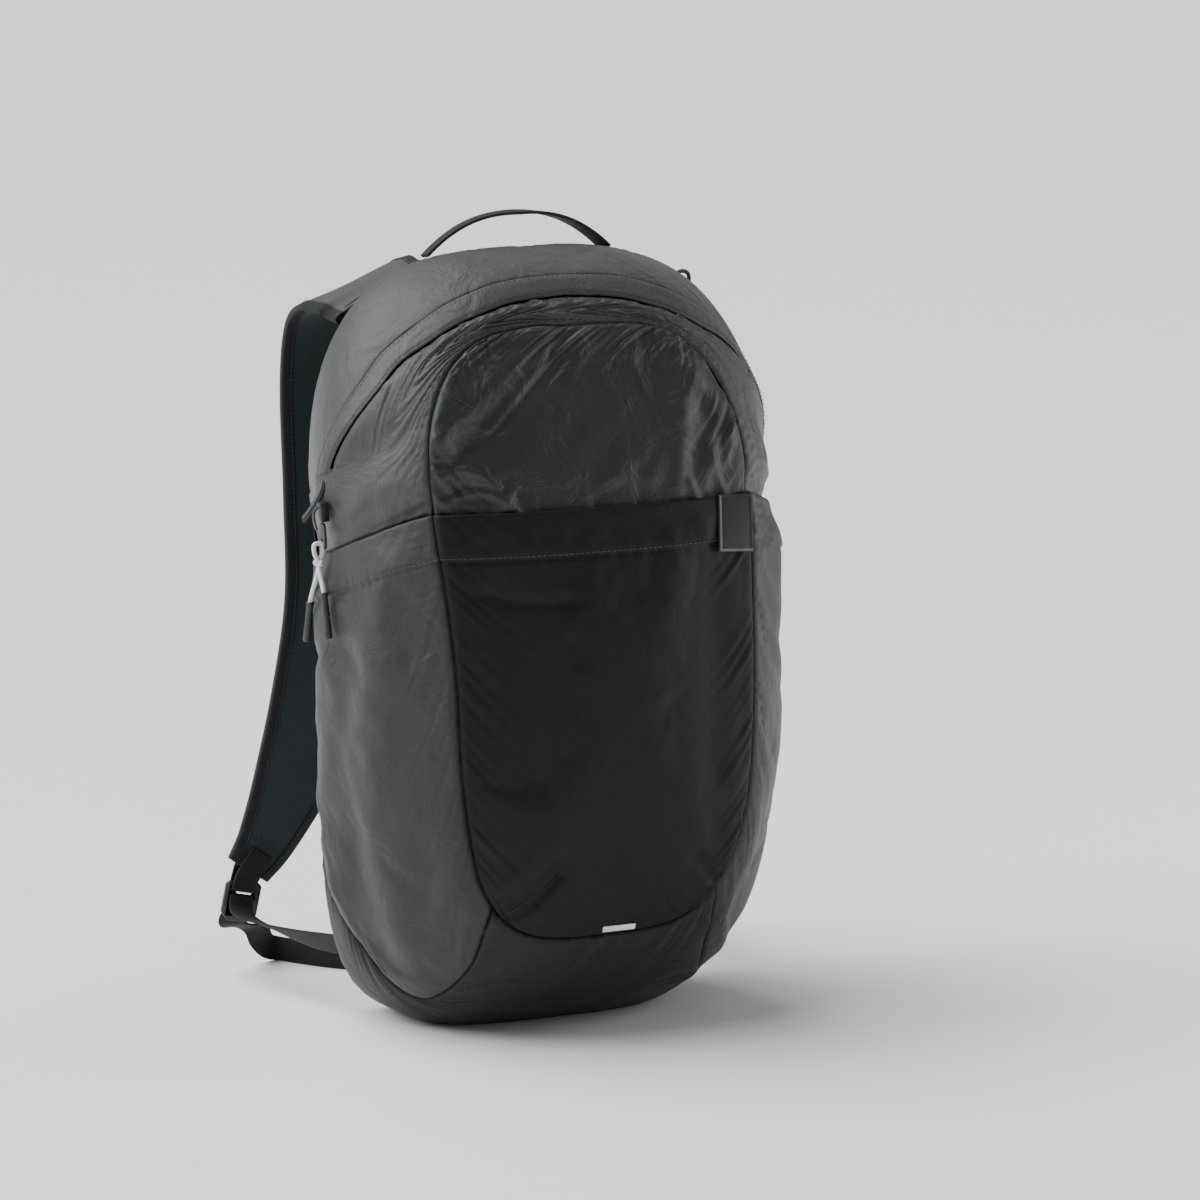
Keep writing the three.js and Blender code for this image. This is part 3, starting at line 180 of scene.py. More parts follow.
def panel_normal(angle, depth, reach):
    step = 0.02
    round_ = base_point(angle + 1.5, depth, reach) - base_point(angle - 1.5, depth, reach)
    inner = base_point(angle, depth, np.maximum(reach - step, 0.01))
    across = inner - base_point(angle, depth, np.minimum(reach + step, 1))
    normal = unit(np.cross(round_, across))
    return np.where(np.asarray(depth)[..., None] < 0.5, -normal, normal)


def cloth_surface(angle, depth, reach=None):
    """Points and outward directions, which turn over the front and back seams."""
    if reach is None:
        points = base_point(angle, depth)
        normals = side_normal(angle, depth)
        to_front = (1 - depth) * depth_at(points[..., 2])
        to_back = depth * depth_at(points[..., 2])
        for distance, edge in ((to_front, np.ones_like(depth)), (to_back, np.zeros_like(depth))):
            seam = unit(side_normal(angle, edge) + panel_normal(angle, edge, np.ones_like(edge)))
            normals = normals + (seam - normals) * (1 - smooth(0, SEAM_TURN, distance))[..., None]
        return points, unit(normals)
    points = base_point(angle, depth, reach)
    normals = panel_normal(angle, depth, reach)
    rim = base_point(angle, depth, np.ones_like(reach))
    distance = np.linalg.norm(rim - points, axis=-1)
    seam = unit(side_normal(angle, depth) + panel_normal(angle, depth, np.ones_like(reach)))
    normals = normals + (seam - normals) * (1 - smooth(0, SEAM_TURN, distance))[..., None]
    return points, unit(normals)


def side_angle(row, depth):
    hem = read(SIDE_HEM, "angle", depth)
    low = read(BOTTOM_SEAM, "angle", depth)
    above = lerp(ZIP_END_ANGLE, FRONT_ZIP_ANGLE, depth**2)
    below_mouth = lerp(low, hem, row / HEM_ROW)
    return np.where(row <= HEM_ROW, below_mouth, lerp(hem, above, (row - HEM_ROW) / (ZIP_ROW - HEM_ROW)))


FRONT_ZIP_ANGLE = lerp(SIDE_HEM[-1]["angle"], 90, 0.1)
ZIP_STEP = (2 * ZIP_END_ANGLE - 180) / (ZIP_COLUMNS + 1)
FRONT_STEP = (2 * FRONT_ZIP_ANGLE - 180) / (ZIP_COLUMNS + 1)


def zip_angle(k):
    return ZIP_END_ANGLE - k * ZIP_STEP


def zip_depth(k):
    return read(ZIP_LINE, "depth", 90 + np.abs(zip_angle(k) - 90))


def gusset_place(row, v):
    """Angle and depth on the long strip that makes both sides and the top in front of the zip."""
    row, v = np.broadcast_arrays(np.asarray(row, float), np.asarray(v, float))
    mirrored = row > LAST_ROW / 2
    r = np.where(mirrored, LAST_ROW - row, row)
    beside = side_angle(np.minimum(r, ZIP_ROW), v)
    k = np.maximum(r - ZIP_ROW, 1)
    on_top = lerp(zip_angle(k), FRONT_ZIP_ANGLE - k * FRONT_STEP, v)
    w = np.clip(r - ZIP_ROW, 0, 1)
    angle = lerp(beside, on_top, w)
    depth = lerp(v, lerp(zip_depth(k) + BAND_SHARE, 1, v), w)
    return np.where(mirrored, 180 - angle, angle), depth


def front_angle(row):
    return gusset_place(row, 1.0)[0]


def back_angle(row):
    rows = np.arange(LAST_ROW - 1)
    end = LAST_ROW - 2
    r = np.minimum(rows, end - rows)
    left = np.where(r <= ZIP_ROW, gusset_place(np.minimum(r, ZIP_ROW), 0.0)[0], zip_angle(r - ZIP_ROW + 1))
    return np.interp(row, rows, np.where(rows > end / 2, 180 - left, left))


def unit_outline(angle, depth):
    c = np.cos(np.radians(angle))
    s = np.sin(np.radians(angle))
    power = np.where(s > 0, read(OUTLINES, "top_power", depth), read(OUTLINES, "bottom_power", depth))
    radius = (np.abs(c) ** power + np.abs(s) ** power) ** (-1 / power)
    return np.stack([radius * c, radius * s], axis=-1)


def bottom_angle(depth, share):
    seam = read(BOTTOM_SEAM, "angle", depth)
    return lerp(seam, 540 - seam, share)


def panel_place(u, w, depth):
    angle = np.degrees(np.arctan2(w, u))
    power = np.where(w > 0, read(OUTLINES, "top_power", depth), read(OUTLINES, "bottom_power", depth))
    reach = (np.abs(u) ** power + np.abs(w) ** power) ** (1 / power)
    return np.where(angle < -90, angle + 360, angle), np.minimum(reach, 1)


def spread(rows, row_span, columns):
    """Two measures over a grid: one over a span down the rows, the other from 0 to 1 across."""
    return np.meshgrid(np.linspace(*row_span, rows), np.linspace(0, 1, columns), indexing="ij")


def panel_grid(depth, top_row, angle_of_row, rows, columns, straight_top=False):
    """Angles and reaches over a front or back panel, from the bottom seam up to a row."""
    t = np.linspace(0, 1, rows + 1)
    s = np.linspace(0, 1, columns + 1)
    left = unit_outline(angle_of_row(t * top_row), depth)
    right = unit_outline(180 - angle_of_row(t * top_row), depth)
    lower = unit_outline(bottom_angle(depth, s), depth)
    if straight_top:
        upper = lerp(left[-1], right[-1], s[:, None])
    else:
        upper = unit_outline(angle_of_row(top_row + ACROSS * s), depth)
    s2 = s[None, :, None]
    t2 = t[:, None, None]
    corners = lerp(lerp(lower[0], lower[-1], s2), lerp(upper[0], upper[-1], s2), t2)
    places = lerp(left[:, None], right[:, None], s2) + lerp(lower[None], upper[None], t2) - corners
    angle, reach = panel_place(places[..., 0], places[..., 1], depth)
    return angle, np.full_like(angle, depth), reach


def wave(s, seed, longest, count=5):
    """An irregular ripple along a seam, the same each time for a seed."""
    draws = np.random.default_rng(seed)
    total = 0
    for k in range(count):
        length = longest * 0.72**k * draws.uniform(0.85, 1.15)
        total = total + draws.uniform(0.5, 1) * np.sin(2 * math.pi * (s / length + draws.uniform(0, 1)))
    return total / math.sqrt(count)


def edge_lengths(points):
    """Distances over the cloth from its left, right, lower and upper edges."""
    across = np.linalg.norm(np.diff(points, axis=1), axis=-1)
    along = np.linalg.norm(np.diff(points, axis=0), axis=-1)
    left = np.pad(np.cumsum(across, axis=1), ((0, 0), (1, 0)))
    lower = np.pad(np.cumsum(along, axis=0), ((1, 0), (0, 0)))
    return dict(left=left, right=left[:, -1:] - left, lower=lower, upper=lower[-1:] - lower)


def gather(points, seams, seed, pucker=0.8, reach=7.0):
    """Lift of cloth that is drawn into its seams, with puckers that fade away from each of them."""
    lengths = edge_lengths(points)
    lift = np.zeros(points.shape[:2])
    for number, edge in enumerate(("left", "right", "lower", "upper")):
        if edge not in seams:
            continue
        strength = seams[edge]
        d = lengths[edge]
        s = lengths["lower"] if edge in ("left", "right") else lengths["left"]
        lift -= SEAM_SINK * strength * (np.exp(-((d / 1.3) ** 2)) + 0.35 * np.exp(-((d / 5) ** 2)))
        ripple = wave(s + 0.5 * d, seed + number, 22) * (0.6 + 0.4 * wave(s, seed + 9 + number, 90, 3))
        lift += pucker * strength * ripple * (d / reach) * np.exp(1 - d / reach)
    return lift


def placed(name, data):
    made = bpy.data.objects.new(name, data)
    bpy.context.collection.objects.link(made)
    return made


def settle(points, slack, seed_wave, cap, frames=14, cell=7.0):
    """Slack cloth, held along its edges, buckles and sags. Gives how far each point moves outwards."""
    size = np.array([np.linalg.norm(np.diff(points, axis=axis), axis=2).mean() for axis in (0, 1)])
    rows, columns = (
        np.linspace(0, n - 1, max(8, int(n * s / cell))) for n, s in zip(points.shape[:2], size)
    )
    r, k = rows.round().astype(int), columns.round().astype(int)
    coarse = points[np.ix_(r, k)]
    outward = unit(np.cross(np.gradient(coarse, axis=0), np.gradient(coarse, axis=1)))
    if np.sum(outward * (coarse - BAG_MIDDLE)) < 0:
        outward = -outward
    ripple = wave(coarse[..., 0] + 0.6 * coarse[..., 2], seed_wave, 45, 4)
    start = coarse + 0.25 * outward * ripple[..., None]
    high, wide = coarse.shape[:2]
    faces = [
        (i * wide + j, i * wide + j + 1, (i + 1) * wide + j + 1, (i + 1) * wide + j)
        for i in range(high - 1)
        for j in range(wide - 1)
    ]
    mesh = bpy.data.meshes.new("settling")
    mesh.from_pydata((start.reshape(-1, 3) / 1000).tolist(), [], faces)
    cloth = placed("settling", mesh)
    held = np.zeros((high, wide), bool)
    held[[0, -1]] = held[:, [0, -1]] = True
    pins = cloth.vertex_groups.new(name="held")
    pins.add(np.flatnonzero(held).tolist(), 1.0, "REPLACE")
    drape = cloth.modifiers.new("drape", "CLOTH")
    drape.settings.vertex_group_mass = "held"
    drape.settings.quality = 6
    drape.settings.mass = 0.08
    drape.settings.tension_stiffness = drape.settings.compression_stiffness = 12
    drape.settings.shear_stiffness = 4
    drape.settings.bending_stiffness = 0.05
    drape.settings.shrink_min = -slack
    drape.settings.effector_weights.gravity = 0.06
    drape.point_cache.frame_start, drape.point_cache.frame_end = 1, frames
    scene = bpy.context.scene
    for frame_number in range(1, frames + 1):
        scene.frame_set(frame_number)
    settled = cloth.evaluated_get(bpy.context.evaluated_depsgraph_get()).data
    moved = np.zeros(high * wide * 3)
    settled.vertices.foreach_get("co", moved)
    out = np.sum((moved.reshape(high, wide, 3) * 1000 - coarse) * outward, axis=2)
    bpy.data.objects.remove(cloth)
    scene.frame_set(1)
    out = cap * np.tanh(out / cap)
    along = np.array([np.interp(np.arange(points.shape[1]), columns, line) for line in out])
    fine = np.array([np.interp(np.arange(points.shape[0]), rows, line) for line in along.T]).T
    for _ in range(4):
        padded = np.pad(fine, 1, mode="edge")
        fine = (padded[:-2, 1:-1] + padded[2:, 1:-1] + padded[1:-1, :-2] + padded[1:-1, 2:]) / 4
    from_edge = np.minimum.reduce(list(edge_lengths(points).values()))
    return fine * smooth(2, 20, from_edge)


def fold_lift(points, folds, first, second, scale):
    """Lift of the folds of a table, drawn in the plane of two directions."""
    a = points[..., first] if first != 1 else BACK_SEAM_Y - points[..., 1]
    b = points[..., second] if second != 1 else BACK_SEAM_Y - points[..., 1]
    lift = np.zeros(points.shape[:-1])
    for fold in folds:
        a1, b1 = fold["a1"] * scale[0], fold["b1"] * scale[1]
        da, db = fold["a2"] * scale[0] - a1, fold["b2"] * scale[1] - b1
        span = da * da + db * db
        along = ((a - a1) * da + (b - b1) * db) / span
        held = np.clip(along, 0, 1)
        bow = fold.get("bow", 0) * 4 * held * (1 - held)
        ax = a1 + held * da - bow * db
        bx = b1 + held * db + bow * da
        side = np.sign((a - a1) * db - (b - b1) * da)
        distance = np.hypot(a - ax, b - bx)
        width = fold["width"] * HALF_WIDTH * np.where(side > 0, 1, fold.get("steep", 1))
        lift += fold["rise"] * FOLD_RISE * np.exp(-((distance / width) ** 2))
    return lift


def add_piece(name, mesh, material, replaced=()):
    mesh.materials.clear()
    mesh.materials.append(material)
    mesh.polygons.foreach_set("use_smooth", np.ones(len(mesh.polygons), bool))
    piece = placed(name, mesh)
    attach(piece, "root")
    if replaced:
        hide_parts(replaced)
    return piece


def cloth_object(name, points, normals, material, replaced, thickness=0.8, floor=0.0):
    """A sewn panel from a grid of points in millimetres, with its flat lengths as UV."""
    rows, columns = points.shape[:2]
    lengths = edge_lengths(points)
    points = points.copy()
    points[..., 2] = np.maximum(points[..., 2], floor)
    index = np.arange(rows * columns).reshape(rows, columns)
    quads = np.stack([index[:-1, :-1], index[:-1, 1:], index[1:, 1:], index[1:, :-1]], axis=-1).reshape(-1, 4)
    flat = points.reshape(-1, 3)
    middle = quads[len(quads) // 2 + columns // 3]
    turn = np.cross(flat[middle[1]] - flat[middle[0]], flat[middle[2]] - flat[middle[0]])
    if np.dot(turn, normals.reshape(-1, 3)[middle[0]]) < 0:
        quads = quads[:, ::-1]
    mesh = bpy.data.meshes.new(name)
    mesh.from_pydata((flat / 1000).tolist(), [], quads.tolist())
    layer = mesh.uv_layers.new(name="cloth")
    uv = np.stack([lengths["left"], lengths["lower"]], axis=-1).reshape(-1, 2) / 1000
    layer.data.foreach_set("uv", uv[quads.reshape(-1)].astype(np.float32).reshape(-1))
    piece = add_piece(name, mesh, material, replaced)
    wall = piece.modifiers.new("wall", "SOLIDIFY")
    wall.thickness = thickness / 1000
    wall.offset = -1
    return piece


def node(tree, kind, values=None, **settings):
    made = tree.nodes.new(kind)
    for name, value in settings.items():
        setattr(made, name, value)
    for name, value in (values or {}).items():
        made.inputs[name].default_value = value
    return made


def math_node(tree, operation, a, b=None, c=None):
    made = node(tree, "ShaderNodeMath", operation=operation)
    for place, value in enumerate((a, b, c)):
        if value is None:
            continue
        if isinstance(value, (int, float)):
            made.inputs[place].default_value = value
        else:
            tree.links.new(value, made.inputs[place])
    return made.outputs[0]


def surface(name, values):
    """A material with plain values on its shader, its node tree, and the place on the object."""
    material = bpy.data.materials.new(name)
    material.use_nodes = True
    tree = material.node_tree
    for key, value in values.items():
        tree.nodes["Principled BSDF"].inputs[key].default_value = value
    return material, tree, node(tree, "ShaderNodeTexCoord").outputs["Object"]


def dress(material, colour, normal=None, roughness=None, metallic=None):
    """Links what the nodes work out to the material's shader."""
    tree = material.node_tree
    inputs = tree.nodes["Principled BSDF"].inputs
    outputs = {"Base Color": colour, "Normal": normal, "Roughness": roughness, "Metallic": metallic}
    for key, output in outputs.items():
        if output is not None:
            tree.links.new(output, inputs[key])
    return material


def texture(tree, place, kind, values, output="Fac", **settings):
    made = node(tree, "ShaderNodeTex" + kind, values, **settings)
    tree.links.new(place, made.inputs["Vector"])
    return made.outputs[output]


def relief(tree, height, strength, distance, under=None):
    """Bump from a height, on top of another bump."""
    made = node(tree, "ShaderNodeBump", {"Strength": strength, "Distance": distance})
    tree.links.new(height, made.inputs["Height"])
    if under is not None:
        tree.links.new(under, made.inputs["Normal"])
    return made.outputs[0]


def between(tree, share, low=0.0, high=1.0, start=0.0, end=1.0):
    values = {"From Min": start, "From Max": end, "To Min": low, "To Max": high}
    made = node(tree, "ShaderNodeMapRange", values)
    tree.links.new(share, made.inputs["Value"])
    return made.outputs[0]


def tint(tree, share, low, high):
    """Mix of two colours, each given as numbers or as a node's output."""
    made = node(tree, "ShaderNodeMix", data_type="RGBA")
    tree.links.new(share, made.inputs["Factor"])
    for key, value in (("A", low), ("B", high)):
        if isinstance(value, tuple):
            made.inputs[key].default_value = (*value, 1)
        else:
            tree.links.new(value, made.inputs[key])
    return made.outputs["Result"]


def cloth_axes(tree):
    """Metres along and across the flat cloth."""
    split = node(tree, "ShaderNodeSeparateXYZ")
    tree.links.new(node(tree, "ShaderNodeUVMap", uv_map="cloth").outputs[0], split.inputs[0])
    return split.outputs[0], split.outputs[1]


def repeat(tree, kind, along, pitch):
    return math_node(tree, kind, math_node(tree, "MULTIPLY", along, 2 * math.pi / pitch))


THREAD_PITCH = 0.00055
RIB_PITCH = 0.0052


def ripstop(name, colour, second_tone, roughness, sheen=0.12, crumple=1.0, shine=0.42):
    """Plain nylon weave with a thicker thread every few millimetres, faintly crumpled; painted highlight on
    the ribs.
    """
    values = {"Roughness": roughness, "Specular IOR Level": shine}
    values |= {"Sheen Weight": sheen, "Sheen Roughness": 0.45}
    material, tree, place = surface(name, values)
    threads, ribs = [], []
    for along in cloth_axes(tree):
        threads.append(repeat(tree, "SINE", along, THREAD_PITCH))
        rib = repeat(tree, "COSINE", along, RIB_PITCH)
        ribs.append(math_node(tree, "POWER", math_node(tree, "MULTIPLY_ADD", rib, 0.5, 0.5), 40))
    weave = math_node(tree, "MULTIPLY", *threads)
    raised = math_node(tree, "MAXIMUM", *ribs)
    fine = relief(tree, math_node(tree, "MULTIPLY_ADD", raised, 0.8, weave), 0.3, 0.00009)
    soft = texture(tree, place, "Noise", {"Scale": 34, "Detail": 5, "Roughness": 0.55, "Distortion": 0.9})
    sharp = math_node(tree, "ABSOLUTE", math_node(tree, "SUBTRACT", soft, 0.5))
    normal = relief(tree, sharp, 0.5 * crumple, 0.004, fine)
    patch = texture(tree, place, "Noise", {"Scale": 9, "Detail": 6, "Roughness": 0.62})
    # Colour: the raised ribs are painted lighter as a painted highlight, over a random patchy tone.
    rib_highlight_and_patch_tone = math_node(tree, "SUBTRACT", math_node(tree, "MULTIPLY_ADD", raised, 0.16, patch), 0.12)
    rough = between(tree, patch, roughness - 0.06, roughness + 0.08)
    return dress(material, tint(tree, rib_highlight_and_patch_tone, colour, second_tone), normal, rough)


nylon_dark = ripstop("nylon_dark", (0.012, 0.0135, 0.016), (0.022, 0.024, 0.028), 0.5)

angle, depth, reach = panel_grid(0.0, CORNER_ROW - 1, back_angle, 150, 90)
points, normals = cloth_surface(angle, depth, reach)
lift = gather(points, dict(left=1, right=1, lower=1, upper=1), 11)
lift += 0.5 * wave(points[..., 2] + 0.6 * points[..., 0], 12, 120, 4)
cloth_object(
    "back_cloth", points + normals * lift[..., None], normals, nylon_dark, "back_panel"
)

# Gusset. One length of ripstop makes both sides and the top in front of the zip; it runs down inside
# the side pockets. Sewn to the front panel in the arched front seam, which draws it into puckers.
SIDE_FOLDS = [
    dict(a1=0.72, b1=0.62, a2=0.66, b2=0.14, width=0.09, rise=0.9),
    dict(a1=0.5, b1=0.6, a2=0.5, b2=0.12, width=0.09, rise=-0.8),
    dict(a1=0.28, b1=0.55, a2=0.32, b2=0.2, width=0.1, rise=0.8),
    dict(a1=0.1, b1=0.63, a2=0.95, b2=0.69, width=0.12, rise=-1.3),
    dict(a1=0.3, b1=0.72, a2=0.62, b2=0.84, width=0.08, rise=0.8),
    dict(a1=0.45, b1=0.7, a2=0.7, b2=0.79, width=0.07, rise=-0.8),
]
TOP_FOLDS = [
    dict(a1=-0.6, b1=0.86, a2=0.6, b2=0.86, width=0.09, rise=-1),
    dict(a1=-0.5, b1=0.3, a2=0.5, b2=0.35, width=0.2, rise=-0.8),
]
GUSSET_CREASES = [
    dict(a1=0.97, b1=0.82, a2=0.8, b2=0.86, width=0.03, rise=0.55, steep=0.5),
    dict(a1=0.98, b1=0.79, a2=0.84, b2=0.78, width=0.025, rise=-0.5, steep=0.5),
    dict(a1=0.97, b1=0.74, a2=0.72, b2=0.69, width=0.035, rise=0.5, steep=0.5),
    dict(a1=0.9, b1=0.71, a2=0.6, b2=0.66, width=0.03, rise=-0.45),
    dict(a1=0.6, b1=0.7, a2=0.32, b2=0.655, width=0.035, rise=0.45, steep=0.5),
    dict(a1=0.98, b1=0.69, a2=0.86, b2=0.665, width=0.022, rise=0.4),
    dict(a1=0.75, b1=0.8, a2=0.7, b2=0.74, width=0.03, rise=-0.4),
]
TUCKED = 3.2
POCKET_ROOM = 8

nylon_grey = ripstop("nylon_grey", (0.026, 0.0275, 0.029), (0.043, 0.045, 0.0475), 0.44, crumple=1.3)


def side_lift(points, normals, creases=()):
    """Folds of the sides and the top at a place, weighted by where the cloth faces."""
    scale = (SIDE_DEPTH, BAG_HEIGHT)
    beside = fold_lift(points, SIDE_FOLDS, 1, 2, scale)
    if creases:
        beside += fold_lift(points, creases, 1, 2, scale)
    above = fold_lift(points, TOP_FOLDS, 0, 1, (HALF_WIDTH, SIDE_DEPTH))
    facing = normals[..., 0] ** 2 * beside + np.where(normals[..., 2] > 0, normals[..., 2] ** 2, 0) * above
    return facing * smooth(3, 8, points[..., 2])


def tuck(rows_above_hem, across):
    """How far the inner layer lies below the surface, inside a pocket and just above its mouth."""
    room = POCKET_ROOM * np.sin(math.pi * np.clip(across, 0, 1)) ** 0.5
    inside = TUCKED + room * smooth(0, 4, HEM_ROW + rows_above_hem)
    return np.where(rows_above_hem > 0, TUCKED * (1 - smooth(0, 2, rows_above_hem)), inside)


row, v = spread(471, (0, LAST_ROW), 61)
angle, depth = gusset_place(row, v)
points, normals = cloth_surface(angle, depth)
lift = gather(points, dict(left=0.7, right=1.1), 21, 1.3, 9)
rows_above = np.minimum(row, LAST_ROW - row) - HEM_ROW
lift += side_lift(points, normals, GUSSET_CREASES) - tuck(rows_above, v)
lift += 0.35 * wave(points[..., 2] + 0.5 * points[..., 1], 23, 70, 4) * smooth(0, 1, rows_above)
gusset_points = points + normals * lift[..., None]
cloth_object("gusset_cloth", gusset_points, normals, nylon_grey, "gusset", floor=0.6)

# Yoke. The top panel between the back seam and the zip, in the same ripstop as the sides, smooth and
# well filled. It is sewn into the back seam behind and along the zip's flap in front.
def zip_edge_depth(k):
    return zip_depth(k) + BAND_SHARE


def yoke_share(k):
    return zip_depth(k) / zip_edge_depth(k)


def top_place(k, share):
    """Angle and depth behind the zip's outer edge. The ends run straight from the seam to the zip."""
    angle = zip_angle(k)
    depth = zip_edge_depth(k) * share
    mirrored = k > (ZIP_COLUMNS + 1) / 2
    from_end = np.where(mirrored, ZIP_COLUMNS + 1 - k, k)
    end_angle = lerp(ZIP_END_ANGLE, zip_angle(1), share)
    end_angle = np.where(mirrored, 180 - end_angle, end_angle)
    end_depth = zip_edge_depth(1) * share
    w = np.clip(2 - from_end, 0, 1)
    return lerp(angle, end_angle, w), lerp(depth, end_depth, w)


k, share = spread(281, (1, ZIP_COLUMNS), 61)
angle, depth = top_place(k, share * yoke_share(k))
points, normals = cloth_surface(angle, depth)
lift = gather(points, dict(left=0.7, right=0.35, lower=0.5, upper=0.5), 31, 0.55, 10)
lift += side_lift(points, normals)
lift += 0.3 * wave(points[..., 0] + 0.8 * points[..., 1], 33, 90, 4)
points += normals * lift[..., None]
cloth_object("yoke_cloth", points, normals, nylon_grey, "yoke", floor=0.6)

# Zip band. A flap of the same cloth, doubled, that lies over the arched zip. It is folded along its
# outer edge and topstitched along both.
k, share = spread(321, (1, ZIP_COLUMNS), 19)
angle, depth = top_place(k, lerp(yoke_share(k), 1, share))
points, normals = cloth_surface(angle, depth)
lengths = edge_lengths(points)
width = lengths["left"][:, -1:]
crown = 0.9 * (1 - (2 * lengths["left"] / width - 1) ** 6)
stitched = -0.35 * np.exp(-(((lengths["right"] - 2.2) / 0.8) ** 2))
stitched -= 0.25 * np.exp(-(((lengths["left"] - 1.8) / 0.8) ** 2))
lift = side_lift(points, normals) + crown + stitched
lift += gather(points, dict(lower=0.5, upper=0.5), 35, 0.2, 6)
lift += 0.12 * wave(lengths["lower"], 36, 16, 4) * np.exp(-lengths["right"] / 4)
band_points = points + normals * lift[..., None]
cloth_object(
    "zip_band_cloth", band_points, normals, nylon_grey, "zip_band", thickness=1.0, floor=0.6
)

# Front panel. Dark ripstop inside the arched front seam, darted at the left shoulder; it shows above
# the stash pocket, where the slack cloth breaks into diagonal folds.
FRONT_FOLDS = [
    dict(a1=-0.2, b1=0.905, a2=-0.72, b2=0.8, width=0.07, rise=1.1),
    dict(a1=-0.16, b1=0.875, a2=-0.66, b2=0.765, width=0.07, rise=-1.1),
    dict(a1=-0.7, b1=0.775, a2=-0.46, b2=0.715, width=0.055, rise=0.9),
    dict(a1=-0.62, b1=0.735, a2=-0.42, b2=0.725, width=0.05, rise=-0.8),
    dict(a1=0.4, b1=0.8, a2=0.34, b2=0.72, width=0.05, rise=0.8),
    dict(a1=0.56, b1=0.79, a2=0.48, b2=0.72, width=0.045, rise=0.8),
    dict(a1=0.48, b1=0.88, a2=0.62, b2=0.84, width=0.045, rise=-0.6),
    dict(a1=-0.02, b1=0.9, a2=-0.1, b2=0.87, width=0.05, rise=0.5),
    dict(a1=0.22, b1=0.9, a2=0.2, b2=0.87, width=0.05, rise=0.5),
    dict(a1=-0.56, b1=0.19, a2=-0.26, b2=0.245, width=0.05, rise=-0.9),
    dict(a1=-0.5, b1=0.22, a2=-0.3, b2=0.28, width=0.06, rise=0.5),
    dict(a1=-0.5, b1=0.6, a2=-0.38, b2=0.35, width=0.09, rise=-0.6),
    dict(a1=0.5, b1=0.6, a2=0.46, b2=0.3, width=0.09, rise=-0.6),
]
FRONT_CREASES = [
    dict(a1=-0.18, b1=0.885, a2=-0.5, b2=0.8, width=0.03, rise=0.7, steep=0.45),
    dict(a1=-0.72, b1=0.75, a2=-0.5, b2=0.735, width=0.028, rise=0.7, bow=0.12, steep=0.5),
    dict(a1=-0.7, b1=0.715, a2=-0.42, b2=0.7, width=0.03, rise=0.6, bow=0.2, steep=0.5),
    dict(a1=-0.42, b1=0.73, a2=-0.5, b2=0.7, width=0.03, rise=0.6),
    dict(a1=-0.66, b1=0.73, a2=-0.6, b2=0.69, width=0.022, rise=-0.6),
    dict(a1=-0.74, b1=0.8, a2=-0.62, b2=0.83, width=0.025, rise=-0.5),
    dict(a1=0.52, b1=0.75, a2=0.58, b2=0.7, width=0.028, rise=0.7, steep=0.5),
    dict(a1=0.4, b1=0.72, a2=0.44, b2=0.69, width=0.022, rise=0.6),
    dict(a1=0.66, b1=0.8, a2=0.6, b2=0.74, width=0.03, rise=0.55, steep=0.5),
    dict(a1=0.6, b1=0.86, a2=0.7, b2=0.78, width=0.03, rise=-0.5),
    dict(a1=-0.3, b1=0.69, a2=-0.3, b2=0.73, width=0.03, rise=-0.35),
    dict(a1=-0.05, b1=0.69, a2=-0.06, b2=0.735, width=0.03, rise=-0.35),
    dict(a1=0.15, b1=0.69, a2=0.16, b2=0.74, width=0.03, rise=-0.3),
]

front_nylon = ripstop("front_nylon", (0.011, 0.0132, 0.0146), (0.019, 0.0225, 0.0245), 0.36, crumple=1.3)


def front_lift(points, normals, creases=()):
    scale = (HALF_WIDTH, BAG_HEIGHT)
    lift = fold_lift(points, FRONT_FOLDS, 0, 2, scale)
    if creases:
        lift += fold_lift(points, creases, 0, 2, scale)
    return lift * np.where(normals[..., 1] < 0, normals[..., 1] ** 2, 0)


angle, depth, reach = panel_grid(1.0, CORNER_ROW, front_angle, 210, 110)
points, normals = cloth_surface(angle, depth, reach)
rows_above = np.linspace(0, CORNER_ROW, 211)[:, None] - HEM_ROW
share = np.linspace(0, 1, 111)[None]
lift = gather(points, dict(left=1, right=1, upper=1.1), 41, 1.3, 9)
lift += front_lift(points, normals, FRONT_CREASES) - tuck(rows_above, share)
lift += 0.4 * wave(points[..., 0] * 0.8 - points[..., 2], 43, 75, 4) * smooth(0, 2, rows_above)
lift += settle(points, 0.02, 47, 2.5) * smooth(0, 1.5, rows_above)
front_points = points + normals * lift[..., None]
cloth_object("front_cloth", front_points, normals, front_nylon, "front_panel")

# Stash pocket. A dark panel over the lower front with a wide turned hem, sewn in at the sides and the
# bottom. A dart runs up from its lower left corner.
HEM_WIDTH = 27
HEM_RISE = 1.0
POCKET_CREASES = [
    dict(a1=-0.6, b1=0.155, a2=-0.25, b2=0.235, width=0.02, rise=-0.9, bow=-0.08, steep=0.6),
    dict(a1=-0.58, b1=0.175, a2=-0.28, b2=0.255, width=0.03, rise=0.4),
    dict(a1=-0.6, b1=0.29, a2=-0.42, b2=0.22, width=0.03, rise=0.35),
    dict(a1=0.6, b1=0.17, a2=0.4, b2=0.24, width=0.03, rise=-0.4),
    dict(a1=-0.62, b1=0.6, a2=-0.2, b2=0.585, width=0.03, rise=-0.35, bow=-0.05),
]

pocket_nylon = ripstop(
    "pocket_nylon", (0.0045, 0.005, 0.0062), (0.0085, 0.0095, 0.0112), 0.5, sheen=0.03, crumple=0.6, shine=0.2
)


